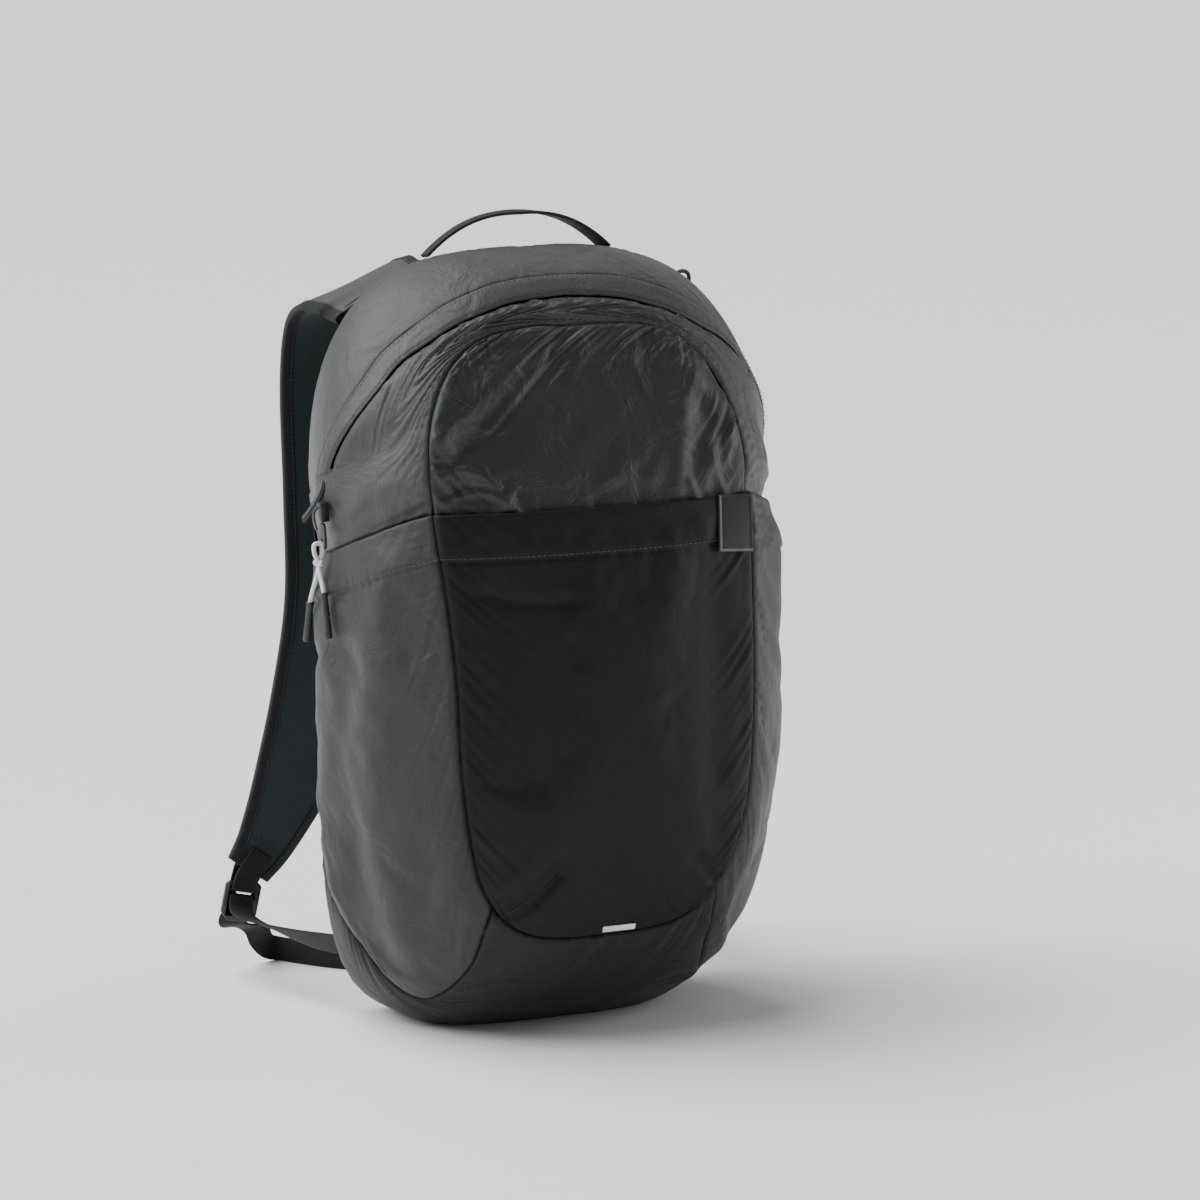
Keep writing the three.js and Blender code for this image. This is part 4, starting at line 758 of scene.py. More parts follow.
def hem_lift(from_mouth, along, seed):
    """A turned hem: it stands proud, and its stitched edge puckers the cloth."""
    lift = HEM_RISE * (1 - smooth(HEM_WIDTH - 1, HEM_WIDTH + 1.5, from_mouth))
    pinch = 0.7 + 0.3 * wave(along, seed, 11, 4)
    lift -= 1.15 * pinch * np.exp(-(((from_mouth - HEM_WIDTH - 0.6) / 1.7) ** 2))
    lift += 0.35 * wave(along, seed + 1, 26, 4) * np.exp(-(((from_mouth - HEM_WIDTH) / 9) ** 2))
    lift -= 0.5 * np.exp(-((from_mouth / 1.0) ** 2))
    return lift


angle, depth, reach = panel_grid(1.0, HEM_ROW, front_angle, 150, 110, straight_top=True)
points, normals = cloth_surface(angle, depth, reach)
lengths = edge_lengths(points)
lift = gather(points, dict(left=1, right=1, lower=1), 51, 0.8, 9)
lift += front_lift(points, normals, POCKET_CREASES)
lift += hem_lift(lengths["upper"], lengths["left"], 53)
lift += 0.3 * wave(points[..., 0] + 0.4 * points[..., 2], 55, 110, 4)
lift += np.maximum(settle(points, 0.012, 57, 2.0), -0.5)
pocket_points = points + normals * lift[..., None]
cloth_object(
    "front_pocket_cloth", pocket_points, normals, pocket_nylon, "front_pocket", thickness=1.0
)

# Side pockets. One on each side over the gusset, in darker grey ripstop, sewn in at the seams, with a
# slanting turned hem across the mouth and broad upright folds below it.
pocket_side_nylon = ripstop(
    "pocket_side_nylon", (0.0135, 0.0145, 0.0155), (0.024, 0.0255, 0.027), 0.48, sheen=0.08
)
SIDE_POCKET_CREASES = [
    dict(a1=0.96, b1=0.16, a2=0.7, b2=0.25, width=0.03, rise=-0.5),
    dict(a1=0.98, b1=0.3, a2=0.82, b2=0.24, width=0.03, rise=0.4),
    dict(a1=0.35, b1=0.5, a2=0.62, b2=0.3, width=0.06, rise=0.4),
    dict(a1=0.2, b1=0.36, a2=0.4, b2=0.14, width=0.05, rise=0.45, steep=0.5),
    dict(a1=0.2, b1=0.56, a2=0.5, b2=0.575, width=0.03, rise=-0.4),
]
pocket_mouths = {}
for hand in ("left", "right"):
    row, depth = spread(171, (0, HEM_ROW), 71)
    angle = side_angle(row, depth)
    if hand == "right":
        angle = 180 - angle
    points, normals = cloth_surface(angle, depth)
    lengths = edge_lengths(points)
    seed = 61 if hand == "left" else 71
    lift = gather(points, dict(left=0.8, right=1, lower=0.8), seed, 0.9, 10)
    lift += side_lift(points, normals, SIDE_POCKET_CREASES)
    lift += hem_lift(lengths["upper"], lengths["left"], seed + 3)
    lift += 0.35 * wave(points[..., 1] + 0.3 * points[..., 2], seed + 5, 60, 4)
    lift += np.maximum(settle(points, 0.02, seed + 7, 2.5), -0.6)
    pocket_mouths[hand] = points + normals * lift[..., None]
    cloth_object(
        "side_pocket_cloth_" + hand,
        pocket_mouths[hand],
        normals,
        pocket_side_nylon,
        "side_pocket_" + hand,
        thickness=1.0,
        floor=0.3,
    )

# Bottom panel. Darker cloth under the bag, which wraps up at the front to the stash pocket and at the
# corners to the side pockets. It lies flat on the floor.
base_nylon = ripstop(
    "base_nylon", (0.0075, 0.009, 0.0095), (0.013, 0.0155, 0.0165), 0.5, sheen=0.05, shine=0.28
)
depth, share = spread(111, (0, 1), 141)
angle = bottom_angle(depth, share)
points, normals = cloth_surface(angle, depth)
lift = gather(points, dict(left=0.9, right=0.9, upper=1, lower=0.6), 81, 1.1, 9)
lift += side_lift(points, normals) * 0.6
lift += 0.3 * wave(points[..., 0] + points[..., 1], 83, 80, 4)
lift *= smooth(-1, 6, points[..., 2])
points += normals * lift[..., None]
cloth_object("bottom_cloth", points, normals, base_nylon, "bottom_panel")

# Handle. A bow of flat ribbed polyester webbing over the top of the back. Its two ends are sewn into
# the back seam.
HANDLE_SPAN = 120
HANDLE_RISE = 24
HANDLE_WEBBING_WIDTH = 15
HANDLE_WEBBING_THICKNESS = 2
HANDLE_STEPS = 60


def webbing_cloth(name, colour, second_tone, rib=1.15):
    """Flat polyester webbing: ribs across it with a fine herringbone between them, its ridges painted lighter
    as a painted highlight.
    """
    values = {"Roughness": 0.62, "Sheen Weight": 0.05, "Specular IOR Level": 0.25}
    material, tree, place = surface(name, values)
    along, across = cloth_axes(tree)
    along = math_node(tree, "MULTIPLY", along, 2000 * math.pi / rib)
    across = math_node(tree, "MULTIPLY", across, 2000 * math.pi / 1.6)
    bent = math_node(tree, "MULTIPLY_ADD", math_node(tree, "SINE", across), 1.1, along)
    slant = math_node(tree, "SINE", bent)
    cords = math_node(tree, "SINE", math_node(tree, "MULTIPLY", across, 2.0))
    normal = relief(tree, math_node(tree, "MULTIPLY_ADD", cords, 0.25, slant), 0.7, 0.00022)
    patch = texture(tree, place, "Noise", {"Scale": 60, "Detail": 5, "Roughness": 0.6})
    # Colour: the herringbone ridges are painted lighter as a painted highlight, over a random patchy tone.
    share = math_node(tree, "SUBTRACT", math_node(tree, "MULTIPLY_ADD", slant, 0.14, patch), 0.1)
    return dress(material, tint(tree, share, colour, second_tone), normal)


webbing_dark = webbing_cloth("webbing_dark", (0.0055, 0.006, 0.0066), (0.011, 0.012, 0.013))


def follow(path, across_at):
    """Places along a path: centre, direction along, direction across set square to it, and out."""
    path = np.asarray(path, float)
    after = np.vstack([path[1:], path[-1:]])
    before = np.vstack([path[:1], path[:-1]])
    along = unit(after - before)
    across = np.array([across_at(i) for i in range(len(path))], float)
    across = unit(across - along * np.sum(along * across, axis=1, keepdims=True))
    return dict(centre=path, along=along, across=across, out=np.cross(across, along))


def flat_section(width, thickness, round_=0.35):
    """Outline of flat webbing with rounded edges, as shares across and out."""
    a, b = width / 2, thickness / 2
    r = min(round_ * thickness, b * 0.95)
    outline = []
    for cx, cy, start in ((a - r, b - r, 0), (r - a, b - r, 90), (r - a, r - b, 180), (a - r, r - b, 270)):
        for turn in np.radians(start + np.linspace(0, 90, 4)):
            outline.append((cx + r * math.cos(turn), cy + r * math.sin(turn)))
    long_side = [(lerp(outline[3][0], outline[4][0], t), b) for t in (0.25, 0.5, 0.75)]
    back_side = [(-x, -y) for x, y in long_side]
    return np.array(outline[:4] + long_side + outline[4:12] + back_side + outline[12:])


def sweep(name, places, sections, material, replaced=()):
    """A closed body with an outline at each place along a path, and its length as UV."""
    centre, across, out = places["centre"], places["across"], places["out"]
    count = len(centre)
    if sections.ndim == 2:
        sections = np.repeat(sections[None], count, axis=0)
    sides = sections.shape[1]
    rings = centre[:, None] + sections[..., :1] * across[:, None] + sections[..., 1:] * out[:, None]
    run = np.concatenate([[0], np.cumsum(np.linalg.norm(np.diff(centre, axis=0), axis=1))])
    steps = np.linalg.norm(np.diff(sections[0], axis=0, append=sections[0][:1]), axis=1)
    girth = np.concatenate([[0], np.cumsum(steps)])
    faces, uvs = [], []
    for i in range(count - 1):
        for k in range(sides):
            a, b = i * sides + k, i * sides + (k + 1) % sides
            faces.append((a, b, b + sides, a + sides))
            corners = ((i, k), (i, k + 1), (i + 1, k + 1), (i + 1, k))
            uvs += [(run[at], girth[round_]) for at, round_ in corners]
    for ring, order in ((0, -1), (count - 1, 1)):
        cap = [ring * sides + k for k in range(sides)][::order]
        faces.append(tuple(cap))
        uvs += [(run[ring] + sections[0][v % sides][1], sections[0][v % sides][0]) for v in cap]
    points = rings.reshape(-1, 3)
    flat = points[np.array(faces[0])]
    turn = np.cross(flat[1] - flat[0], flat[2] - flat[0])
    mesh = bpy.data.meshes.new(name)
    if np.dot(turn, flat.mean(axis=0) - centre[:2].mean(axis=0)) < 0:
        starts = np.cumsum([0] + [len(face) for face in faces])
        uvs = [uv for start, end in zip(starts, starts[1:]) for uv in uvs[start:end][::-1]]
        faces = [face[::-1] for face in faces]
    mesh.from_pydata((points / 1000).tolist(), [], faces)
    layer = mesh.uv_layers.new(name="cloth")
    layer.data.foreach_set("uv", (np.array(uvs, np.float32) / 1000).reshape(-1))
    piece = add_piece(name, mesh, material, replaced)
    for end in mesh.polygons[-2:]:
        end.use_smooth = False
    return piece


def side_place(angle, depth, rise=0.0):
    """Point on the side or top at an angle and depth, with its folds and a rise."""
    angle, depth = np.atleast_1d(np.asarray(angle, float)), np.atleast_1d(np.asarray(depth, float))
    points = base_point(angle, depth)
    normals = side_normal(angle, depth)
    lift = side_lift(points, normals) + rise
    return (points + normals * lift[..., None])[0], normals[0]


def angle_over(x, depth):
    low, high = 20.0, 160.0
    for _ in range(40):
        middle = (low + high) / 2
        if outline_point(middle, depth)[0] > x:
            low = middle
        else:
            high = middle
    return (low + high) / 2


handle_depth = (HANDLE_WEBBING_WIDTH / 2 + 3) / depth_at(BAG_HEIGHT)
handle_angle = angle_over(-HANDLE_SPAN / 2, handle_depth)
feet = [
    side_place(angle_over(x, handle_depth), handle_depth, HANDLE_WEBBING_THICKNESS / 2 + 0.6)[0]
    for x in (-HANDLE_SPAN / 2, HANDLE_SPAN / 2)
]
foot_slope = base_point(handle_angle, 0.01) - base_point(handle_angle, 2 * handle_depth)
foot_slope = unit(foot_slope * (0, 1, 1))
t = np.linspace(0, 1, HANDLE_STEPS + 1)
handle_path = feet[0] + (feet[1] - feet[0]) * t[:, None]
handle_path[:, 2] += HANDLE_RISE * (1 - np.abs(2 * t - 1) ** 2.4)


def handle_across(i):
    from_middle = abs(2 * i / HANDLE_STEPS - 1)
    return lerp(np.array((0, 1.0, 0)), foot_slope, from_middle)


handle_places = follow(handle_path, handle_across)
handle_section = flat_section(HANDLE_WEBBING_WIDTH, HANDLE_WEBBING_THICKNESS)
sweep("handle_webbing", handle_places, handle_section, webbing_dark, "handle")

# Shoulder straps. Thin foam between spacer mesh on the inside and nylon on the outside; the edges are
# bound with narrow tape, stitched through. They are sewn into the back seam and taper to the tip.
STRAP_WIDTH = 70
STRAP_THICKNESS = 7
STRAP_BOW = 110
STRAP_STEPS = 110
BINDING_WIDTH = 6.5
STRAP_TACKS = ((0.035, 46, 1, 0), (0.86, 12, -1, 0.32), (0.965, 15, -1, 0), (0.965, 15, 1, 0))
STRAP_LINE = [
    dict(at=0, x=0.6, out=0.0125, z=0.941, width=0.94, tilt=30),
    dict(at=0.02, x=0.6, out=0.1, z=0.941, width=0.95, tilt=29),
    dict(at=0.05, x=0.61, out=0.2, z=0.945, width=1, tilt=25),
    dict(at=0.1, x=0.625, out=0.38, z=0.935, width=1.03, tilt=21),
    dict(at=0.16, x=0.63, out=0.53, z=0.895, width=1.02, tilt=10),
    dict(at=0.26, x=0.63, out=0.62, z=0.81, width=1, tilt=2),
    dict(at=0.42, x=0.612, out=0.67, z=0.665, width=0.97, tilt=0),
    dict(at=0.58, x=0.6, out=0.72, z=0.52, width=0.95, tilt=0),
    dict(at=0.73, x=0.65, out=0.81, z=0.39, width=0.9, tilt=-6),
    dict(at=0.86, x=0.745, out=0.91, z=0.27, width=0.76, tilt=-16),
    dict(at=0.95, x=0.865, out=0.96, z=0.185, width=0.56, tilt=-22),
    dict(at=1, x=0.955, out=0.975, z=0.145, width=0.44, tilt=-24),
]


def spacer_mesh(name, inner, outer, outer_rough):
    """Knitted mesh with small open cells on the inside, darkened in the cells as painted shade; smooth nylon
    on the outside.
    """
    values = {"Roughness": 0.8, "Sheen Weight": 0.2, "Specular IOR Level": 0.3}
    material, tree, place = surface(name, values)
    cloth = node(tree, "ShaderNodeUVMap", uv_map="cloth").outputs[0]
    outside = node(tree, "ShaderNodeAttribute", attribute_name="outside").outputs["Fac"]
    cells = texture(tree, cloth, "Voronoi", {"Scale": 520, "Randomness": 0.15}, "Distance")
    hole = between(tree, cells, start=0.1, end=0.42)
    threads = [repeat(tree, "SINE", along, THREAD_PITCH) for along in cloth_axes(tree)]
    weave = math_node(tree, "MULTIPLY", math_node(tree, "MULTIPLY", *threads), 0.3)
    height = math_node(tree, "MULTIPLY_ADD", outside, math_node(tree, "SUBTRACT", weave, hole), hole)
    fine = relief(tree, height, 0.45, 0.0003)
    dents = texture(tree, place, "Noise", {"Scale": 26, "Detail": 3, "Roughness": 0.5})
    normal = relief(tree, dents, 0.25, 0.004, fine)
    # The open cells are painted darker as painted shade, since the mesh has its holes only as bumps.
    knit_with_painted_hole_shade = tint(tree, hole, tuple(0.45 * c for c in inner), inner)
    rough = between(tree, outside, 0.85, outer_rough)
    return dress(material, tint(tree, outside, knit_with_painted_hole_shade, outer), normal, rough)


strap_cloth = spacer_mesh("strap_cloth", (0.022, 0.034, 0.038), (0.024, 0.026, 0.027), 0.5)
binding_tape = webbing_cloth("binding_tape", (0.008, 0.009, 0.01), (0.014, 0.0155, 0.017), rib=0.8)


def catmull(points, count):
    """Smooth centripetal curve through points, from the first to the last."""
    points = np.asarray(points, float)
    points = np.vstack([2 * points[0] - points[1], points, 2 * points[-1] - points[-2]])
    spans = len(points) - 3
    made = []
    for step in range(count + 1):
        place = min(step / count * spans, spans - 1e-9)
        i = int(place)
        p = points[i : i + 4]
        knots = np.concatenate([[0], np.cumsum(np.sqrt(np.linalg.norm(np.diff(p, axis=0), axis=1)))])
        at = lerp(knots[1], knots[2], place - i)
        for pairs in (((0, 1), (1, 2), (2, 3)), ((0, 2), (1, 3)), ((1, 2),)):
            p = [
                (p[k] * (knots[b] - at) + p[k + 1] * (at - knots[a])) / (knots[b] - knots[a])
                for k, (a, b) in enumerate(pairs)
            ]
        made.append(p[0])
    return np.array(made)


def pad_height(x, half_width):
    """Half thickness of the strap at a distance from its middle line."""
    return STRAP_THICKNESS / 2 * (1 - 0.5 * np.minimum(np.abs(x) / half_width, 1) ** 5)


def pad_section(width):
    a = width / 2
    x = a * np.sin(np.linspace(-math.pi / 2, math.pi / 2, 19))
    y = pad_height(x, a)
    top = np.stack([x[1:-1], y[1:-1]], axis=1)
    edge = np.array([(a, 0.25 * STRAP_THICKNESS * f) for f in (0.8, 0, -0.8)])
    return np.vstack([top, edge, -top, -edge])


def binding_section(width, side):
    a = width / 2
    x = np.linspace(a - BINDING_WIDTH, a - 0.3, 7)
    y = pad_height(x, a) + 0.45
    top = np.stack([x, y], axis=1)
    edge = np.array([(a + 0.5, 0.3 * STRAP_THICKNESS * f) for f in (0.6, 0, -0.6)])
    under = top[::-1] * (1, -1)
    outline = np.vstack([top, edge, under])
    return outline * (side, 1) if side > 0 else (outline * (side, 1))[::-1]


def stitch_rows():
    """Geometry Nodes tree that lays short stitches end to end along polylines."""
    tree = bpy.data.node_groups.new("stitch_rows", "GeometryNodeTree")
    face = tree.interface
    face.new_socket("Geometry", in_out="INPUT", socket_type="NodeSocketGeometry")
    for name, value in (("Pitch", 0.003), ("Length", 0.0022), ("Thickness", 0.0005)):
        face.new_socket(name, in_out="INPUT", socket_type="NodeSocketFloat").default_value = value
    face.new_socket("Thread", in_out="INPUT", socket_type="NodeSocketMaterial")
    face.new_socket("Geometry", in_out="OUTPUT", socket_type="NodeSocketGeometry")
    given = tree.nodes.new("NodeGroupInput")
    result = tree.nodes.new("NodeGroupOutput")
    line = tree.nodes.new("GeometryNodeMeshToCurve")
    even = tree.nodes.new("GeometryNodeResampleCurve")
    even.mode = "LENGTH"
    bead = node(tree, "GeometryNodeMeshUVSphere", {"Segments": 6, "Rings": 4, "Radius": 0.5})
    place = tree.nodes.new("GeometryNodeInstanceOnPoints")
    turn = tree.nodes.new("FunctionNodeAlignRotationToVector")
    turn.axis = "Z"
    size = tree.nodes.new("ShaderNodeCombineXYZ")
    points = tree.nodes.new("GeometryNodeCurveToPoints")
    points.mode = "EVALUATED"
    real = tree.nodes.new("GeometryNodeRealizeInstances")
    paint = tree.nodes.new("GeometryNodeSetMaterial")
    links = (
        (given.outputs["Geometry"], line.inputs["Mesh"]),
        (line.outputs["Curve"], even.inputs["Curve"]),
        (given.outputs["Pitch"], even.inputs["Length"]),
        (even.outputs["Curve"], points.inputs["Curve"]),
        (points.outputs["Points"], place.inputs["Points"]),
        (bead.outputs["Mesh"], place.inputs["Instance"]),
        (points.outputs["Tangent"], turn.inputs["Vector"]),
        (turn.outputs["Rotation"], place.inputs["Rotation"]),
        (given.outputs["Thickness"], size.inputs["X"]),
        (given.outputs["Thickness"], size.inputs["Y"]),
        (given.outputs["Length"], size.inputs["Z"]),
        (size.outputs[0], place.inputs["Scale"]),
        (place.outputs["Instances"], real.inputs["Geometry"]),
        (real.outputs["Geometry"], paint.inputs["Geometry"]),
        (given.outputs["Thread"], paint.inputs["Material"]),
        (paint.outputs["Geometry"], result.inputs["Geometry"]),
    )
    for start, end in links:
        tree.links.new(start, end)
    return tree


stitch_tree = stitch_rows()


def sewing_thread(name, colour):
    """Twisted polyester thread with a dull shine."""
    material, tree, place = surface(name, {"Roughness": 0.5, "Sheen Weight": 0.2})
    fuzz = texture(tree, place, "Noise", {"Scale": 900, "Detail": 2})
    return dress(material, tint(tree, fuzz, tuple(0.7 * c for c in colour), tuple(1.4 * c for c in colour)))


thread_black = sewing_thread("thread_black", (0.012, 0.013, 0.014))
thread_grey = sewing_thread("thread_grey", (0.03, 0.032, 0.034))


def stitches(name, lines, material, slot_name, pitch=3.0, length=2.3, thickness=0.55):
    """Sewn lines from polylines in millimetres, all in one piece."""
    points = np.vstack(lines) / 1000
    edges, start = [], 0
    for line in lines:
        edges += [(start + k, start + k + 1) for k in range(len(line) - 1)]
        start += len(line)
    mesh = bpy.data.meshes.new(name + "_lines")
    mesh.from_pydata(points.tolist(), edges, [])
    holder = placed(name + "_lines", mesh)
    sewn = holder.modifiers.new("stitches", "NODES")
    sewn.node_group = stitch_tree
    values = dict(Pitch=pitch / 1000, Length=length / 1000, Thickness=thickness / 1000, Thread=material)
    for item in stitch_tree.interface.items_tree:
        if item.in_out == "INPUT" and item.name in values:
            sewn[item.identifier] = values[item.name]
    evaluated = holder.evaluated_get(bpy.context.evaluated_depsgraph_get())
    made = bpy.data.meshes.new_from_object(evaluated)
    bpy.data.objects.remove(holder)
    made.name = name
    return add_piece(name, made, material)


def tack(centre, across, along, width, length, turns=9):
    """Zigzag of a bar tack."""
    t = np.linspace(-0.5, 0.5, 2 * turns)
    side = np.where(np.arange(2 * turns) % 2, 0.5, -0.5)
    return centre + width * side[:, None] * across + length * t[:, None] * along


# The ladder lock is moulded, with two slots; a webbing loop from the strap's tip holds its top bar.
# The adjuster webbing runs from the bag's lower corner up behind it, over its middle bar and down.
WEBBING_WIDTH = 16
WEBBING_THICKNESS = 1.6
LOCK_THICKNESS = 3
LOCK_BAR = 4
LOCK_LOOP = 8
LOCK_TURN = 22
LOOP_SEWN_LENGTH = 14
ANCHOR_ANGLE = 224
FACE_GAP = 0.5
WRAP_STEPS = 14
LOOP_STEPS = 90
LEAD_STEPS = 32
TAIL_STEPS = 96
TAIL_LINE = [
    dict(x=0.875, out=1.12, z=1.1),
    dict(x=0.83, out=1.19, z=0.55),
    dict(x=0.78, out=1.235, z=0.12),
    dict(x=0.735, out=1.235, z=0),
    dict(x=0.665, out=1.1, z=0),
    dict(x=0.585, out=0.96, z=0),
    dict(x=0.49, out=0.83, z=0),
    dict(x=0.41, out=0.72, z=0),
]
wrap_radius = LOCK_THICKNESS / 2 + FACE_GAP + WEBBING_THICKNESS / 2
bar_inset = 0.7
lock_slot = 2 * (wrap_radius + WEBBING_THICKNESS / 2 - bar_inset) + 1.2
lock_length = 3 * LOCK_BAR + 2 * lock_slot


def moulded(name, colour, roughness):
    """Satin moulded plastic with a faint grain and rubbed, paler spots."""
    material, tree, place = surface(name, {"Roughness": roughness})
    grain = relief(tree, texture(tree, place, "Noise", {"Scale": 2600, "Detail": 2}), 0.25, 0.00008)
    rub = texture(tree, place, "Noise", {"Scale": 120, "Detail": 4})
    tone = tint(tree, rub, colour, tuple(1.6 * c + 0.004 for c in colour))
    return dress(material, tone, grain, between(tree, rub, roughness - 0.08, roughness + 0.12))


lock_plastic = moulded("lock_plastic", (0.013, 0.0145, 0.016), 0.36)


def rounded_copy(name, source, material, bevel, angle=30):
    """The same shape as a solid of the frame, with its corners rounded as a mould leaves them."""
    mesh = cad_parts[source].data.copy()
    mesh.name = name
    shape = bmesh.new()
    shape.from_mesh(mesh)
    bmesh.ops.remove_doubles(shape, verts=shape.verts, dist=1e-6)
    bmesh.ops.dissolve_limit(shape, angle_limit=math.radians(2), verts=shape.verts, edges=shape.edges)
    shape.to_mesh(mesh)
    shape.free()
    piece = add_piece(name, mesh, material, source)
    edge = piece.modifiers.new("rounded", "BEVEL")
    edge.width = bevel / 1000
    edge.segments = 3
    edge.limit_method = "ANGLE"
    edge.angle_limit = math.radians(angle)
    edge.harden_normals = True
    return piece


def turned(direction, axis, degrees):
    c, s = math.cos(math.radians(degrees)), math.sin(math.radians(degrees))
    return direction * c + np.cross(axis, direction) * s + axis * np.dot(axis, direction) * (1 - c)


for side, hand in ((-1, "left"), (1, "right")):
    at = (np.arange(STRAP_STEPS + 1) / STRAP_STEPS) ** 1.3
    strap_path = np.stack(
        [
            side * HALF_WIDTH * read(STRAP_LINE, "x", at),
            BACK_SEAM_Y + STRAP_BOW * read(STRAP_LINE, "out", at),
            BAG_HEIGHT * read(STRAP_LINE, "z", at),
        ],
        axis=1,
    )
    tilts = np.radians(read(STRAP_LINE, "tilt", at))
    widths = STRAP_WIDTH * read(STRAP_LINE, "width", at)
    strap = follow(strap_path, lambda i: (math.cos(tilts[i]), 0, -side * math.sin(tilts[i])))
    sections = np.array([pad_section(w) for w in widths])
    pad = sweep("strap_pad_body_" + hand, strap, sections, strap_cloth, "strap_pad_" + hand)
    outside = pad.data.attributes.new("outside", "FLOAT", "POINT")
    face_out = np.tile((sections[0][:, 1] > 0).astype(np.float32), len(strap_path))
    outside.data.foreach_set("value", face_out)
    lines = []
    for edge in (-1, 1):
        bound = np.array([binding_section(w, edge) for w in widths])
        name = "strap_binding_" + hand + ("_inner" if edge * side < 0 else "_outer")
        sweep(name, strap, bound, binding_tape)
        for face in (-1, 1):
            x = edge * (widths / 2 - BINDING_WIDTH + 1.1)
            y = face * (pad_height(x, widths / 2) + 0.6)
            lines.append(strap["centre"] + x[:, None] * strap["across"] + y[:, None] * strap["out"])
    for share, width, face, aside in STRAP_TACKS:
        i = int(share * STRAP_STEPS)
        x = -side * widths[i] * aside
        y = face * (pad_height(x, widths[i] / 2) + 0.35)
        spot = strap["centre"][i] + x * strap["across"][i] + y * strap["out"][i]
        lines.append(tack(spot, strap["along"][i], strap["across"][i], 2.0, width, int(width)))
    stitches("strap_stitches_" + hand, lines, thread_black, "webbing")

    tip = {key: strap[key][-1] for key in strap}
    lock_along = turned(tip["along"], tip["out"], side * LOCK_TURN)
    lock_across = turned(tip["across"], tip["out"], side * LOCK_TURN)
    pivot = tip["centre"] + 2 * tip["along"]

    def at_tip(below, out):
        return tip["centre"] + below * tip["along"] + out * tip["out"]

    def at_lock(below, out):
        return pivot + (below - 2) * lock_along + out * tip["out"]

    rounded_copy("ladder_lock_body_" + hand, "ladder_lock_" + hand, lock_plastic, 0.9)

    loop_face = STRAP_THICKNESS / 2 + FACE_GAP + 0.3 + WEBBING_THICKNESS / 2
    top_turn = LOCK_LOOP + LOCK_BAR - bar_inset
    turns = math.pi * np.arange(WRAP_STEPS + 1) / WRAP_STEPS
    front_run, back_run = (
        [
            at_tip(-LOOP_SEWN_LENGTH, face * loop_face),
            at_tip(-1, face * loop_face),
            at_lock(LOCK_LOOP - 2, face * (wrap_radius + 0.6)),
        ]
        for face in (1, -1)
    )
    wrap = [at_lock(top_turn + wrap_radius * math.sin(a), wrap_radius * math.cos(a)) for a in turns]
    loop_path = catmull(front_run + wrap + back_run[::-1], LOOP_STEPS)

    def loop_across(i):
        from_end = min(i, LOOP_STEPS - i) / LOOP_STEPS * 20
        return lerp(tip["across"], lock_across, smooth(1, 3, from_end))

    webbing_section = flat_section(WEBBING_WIDTH, WEBBING_THICKNESS)
    sweep(
        "strap_loop_webbing_" + hand,
        follow(loop_path, loop_across),
        webbing_section,
        webbing_dark,
        "strap_loop_" + hand,
    )

    lock_bottom = LOCK_LOOP + lock_length
    middle_turn = LOCK_LOOP + LOCK_BAR + lock_slot + bar_inset
    corner = base_point(ANCHOR_ANGLE if side < 0 else 540 - ANCHOR_ANGLE, 0, 0.97)
    sewn = corner + (0, FACE_GAP, 0)
    leaving = sewn + (0, 4, 0)
    behind = at_lock(middle_turn + 7, -wrap_radius - 8)
    sag = np.array((0, 0, -3.0))
    lead = catmull(
        [
            leaving,
            lerp(leaving, behind, 0.35) + sag,
            lerp(leaving, behind, 0.7) + sag,
            behind,
            at_lock(middle_turn + 4, -wrap_radius - 1.2),
        ],
        LEAD_STEPS,
    )
    wrap = [at_lock(middle_turn - wrap_radius * math.sin(a), -wrap_radius * math.cos(a)) for a in turns]
    on_floor = [
        np.array(
            (side * HALF_WIDTH * p["x"], BACK_SEAM_Y + STRAP_BOW * p["out"], WEBBING_WIDTH * (p["z"] + 0.5))
        )
        for p in TAIL_LINE
    ]
    tail_start = [
        at_lock(lock_bottom - LOCK_BAR - 1, wrap_radius + 0.5),
        at_lock(lock_bottom + 2, wrap_radius + 3.5),
    ]
    tail = catmull(tail_start + on_floor, TAIL_STEPS)
    lower_path = np.vstack([[sewn], lead, wrap, tail])
    wrap_end = 1 + len(lead) + len(wrap) - 1

    def lower_across(i):
        if i <= LEAD_STEPS + 1:
            return lerp(np.array((0.5, 0, side * 0.87)), lock_across, smooth(0, 0.85, i / LEAD_STEPS))
        after = np.clip((i - wrap_end - 16) / (TAIL_STEPS * 0.4), 0, 1)
        return lerp(lock_across, np.array((0, 0, -side * 1.0)), smooth(0, 1, after))

    sweep(
        "lower_webbing_strap_" + hand,
        follow(lower_path, lower_across),
        webbing_section,
        webbing_dark,
        "lower_webbing_" + hand,
    )

# Front label. A woven patch at the right end of the stash pocket's hem, sewn on round its edge with
# zigzag stitches, which are light at its left and lower edges.


def slab(source):
    """Middle, directions across, up and out, and half sizes of a flat solid of the frame."""
    points = np.array([vertex.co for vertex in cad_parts[source].data.vertices]) * 1000
    middle = (points.max(axis=0) + points.min(axis=0)) / 2
    _, _, axes = np.linalg.svd(points - middle, full_matrices=False)
    out = axes[2] if axes[2][1] < 0 else -axes[2]
    best = None
    for degrees in np.linspace(-15, 15, 301):
        across = turned(unit(np.cross((0, 0, 1.0), -out)), out, degrees)
        across = across if across[0] > 0 else -across
        up = np.cross(out, across)
        up = up if up[2] > 0 else -up
        reach = [np.abs((points - middle) @ axis).max() for axis in (across, up, out)]
        if best is None or reach[0] * reach[1] < best[0]:
            best = (reach[0] * reach[1], across, up, reach)
    return middle, best[1], best[2], out, best[3]


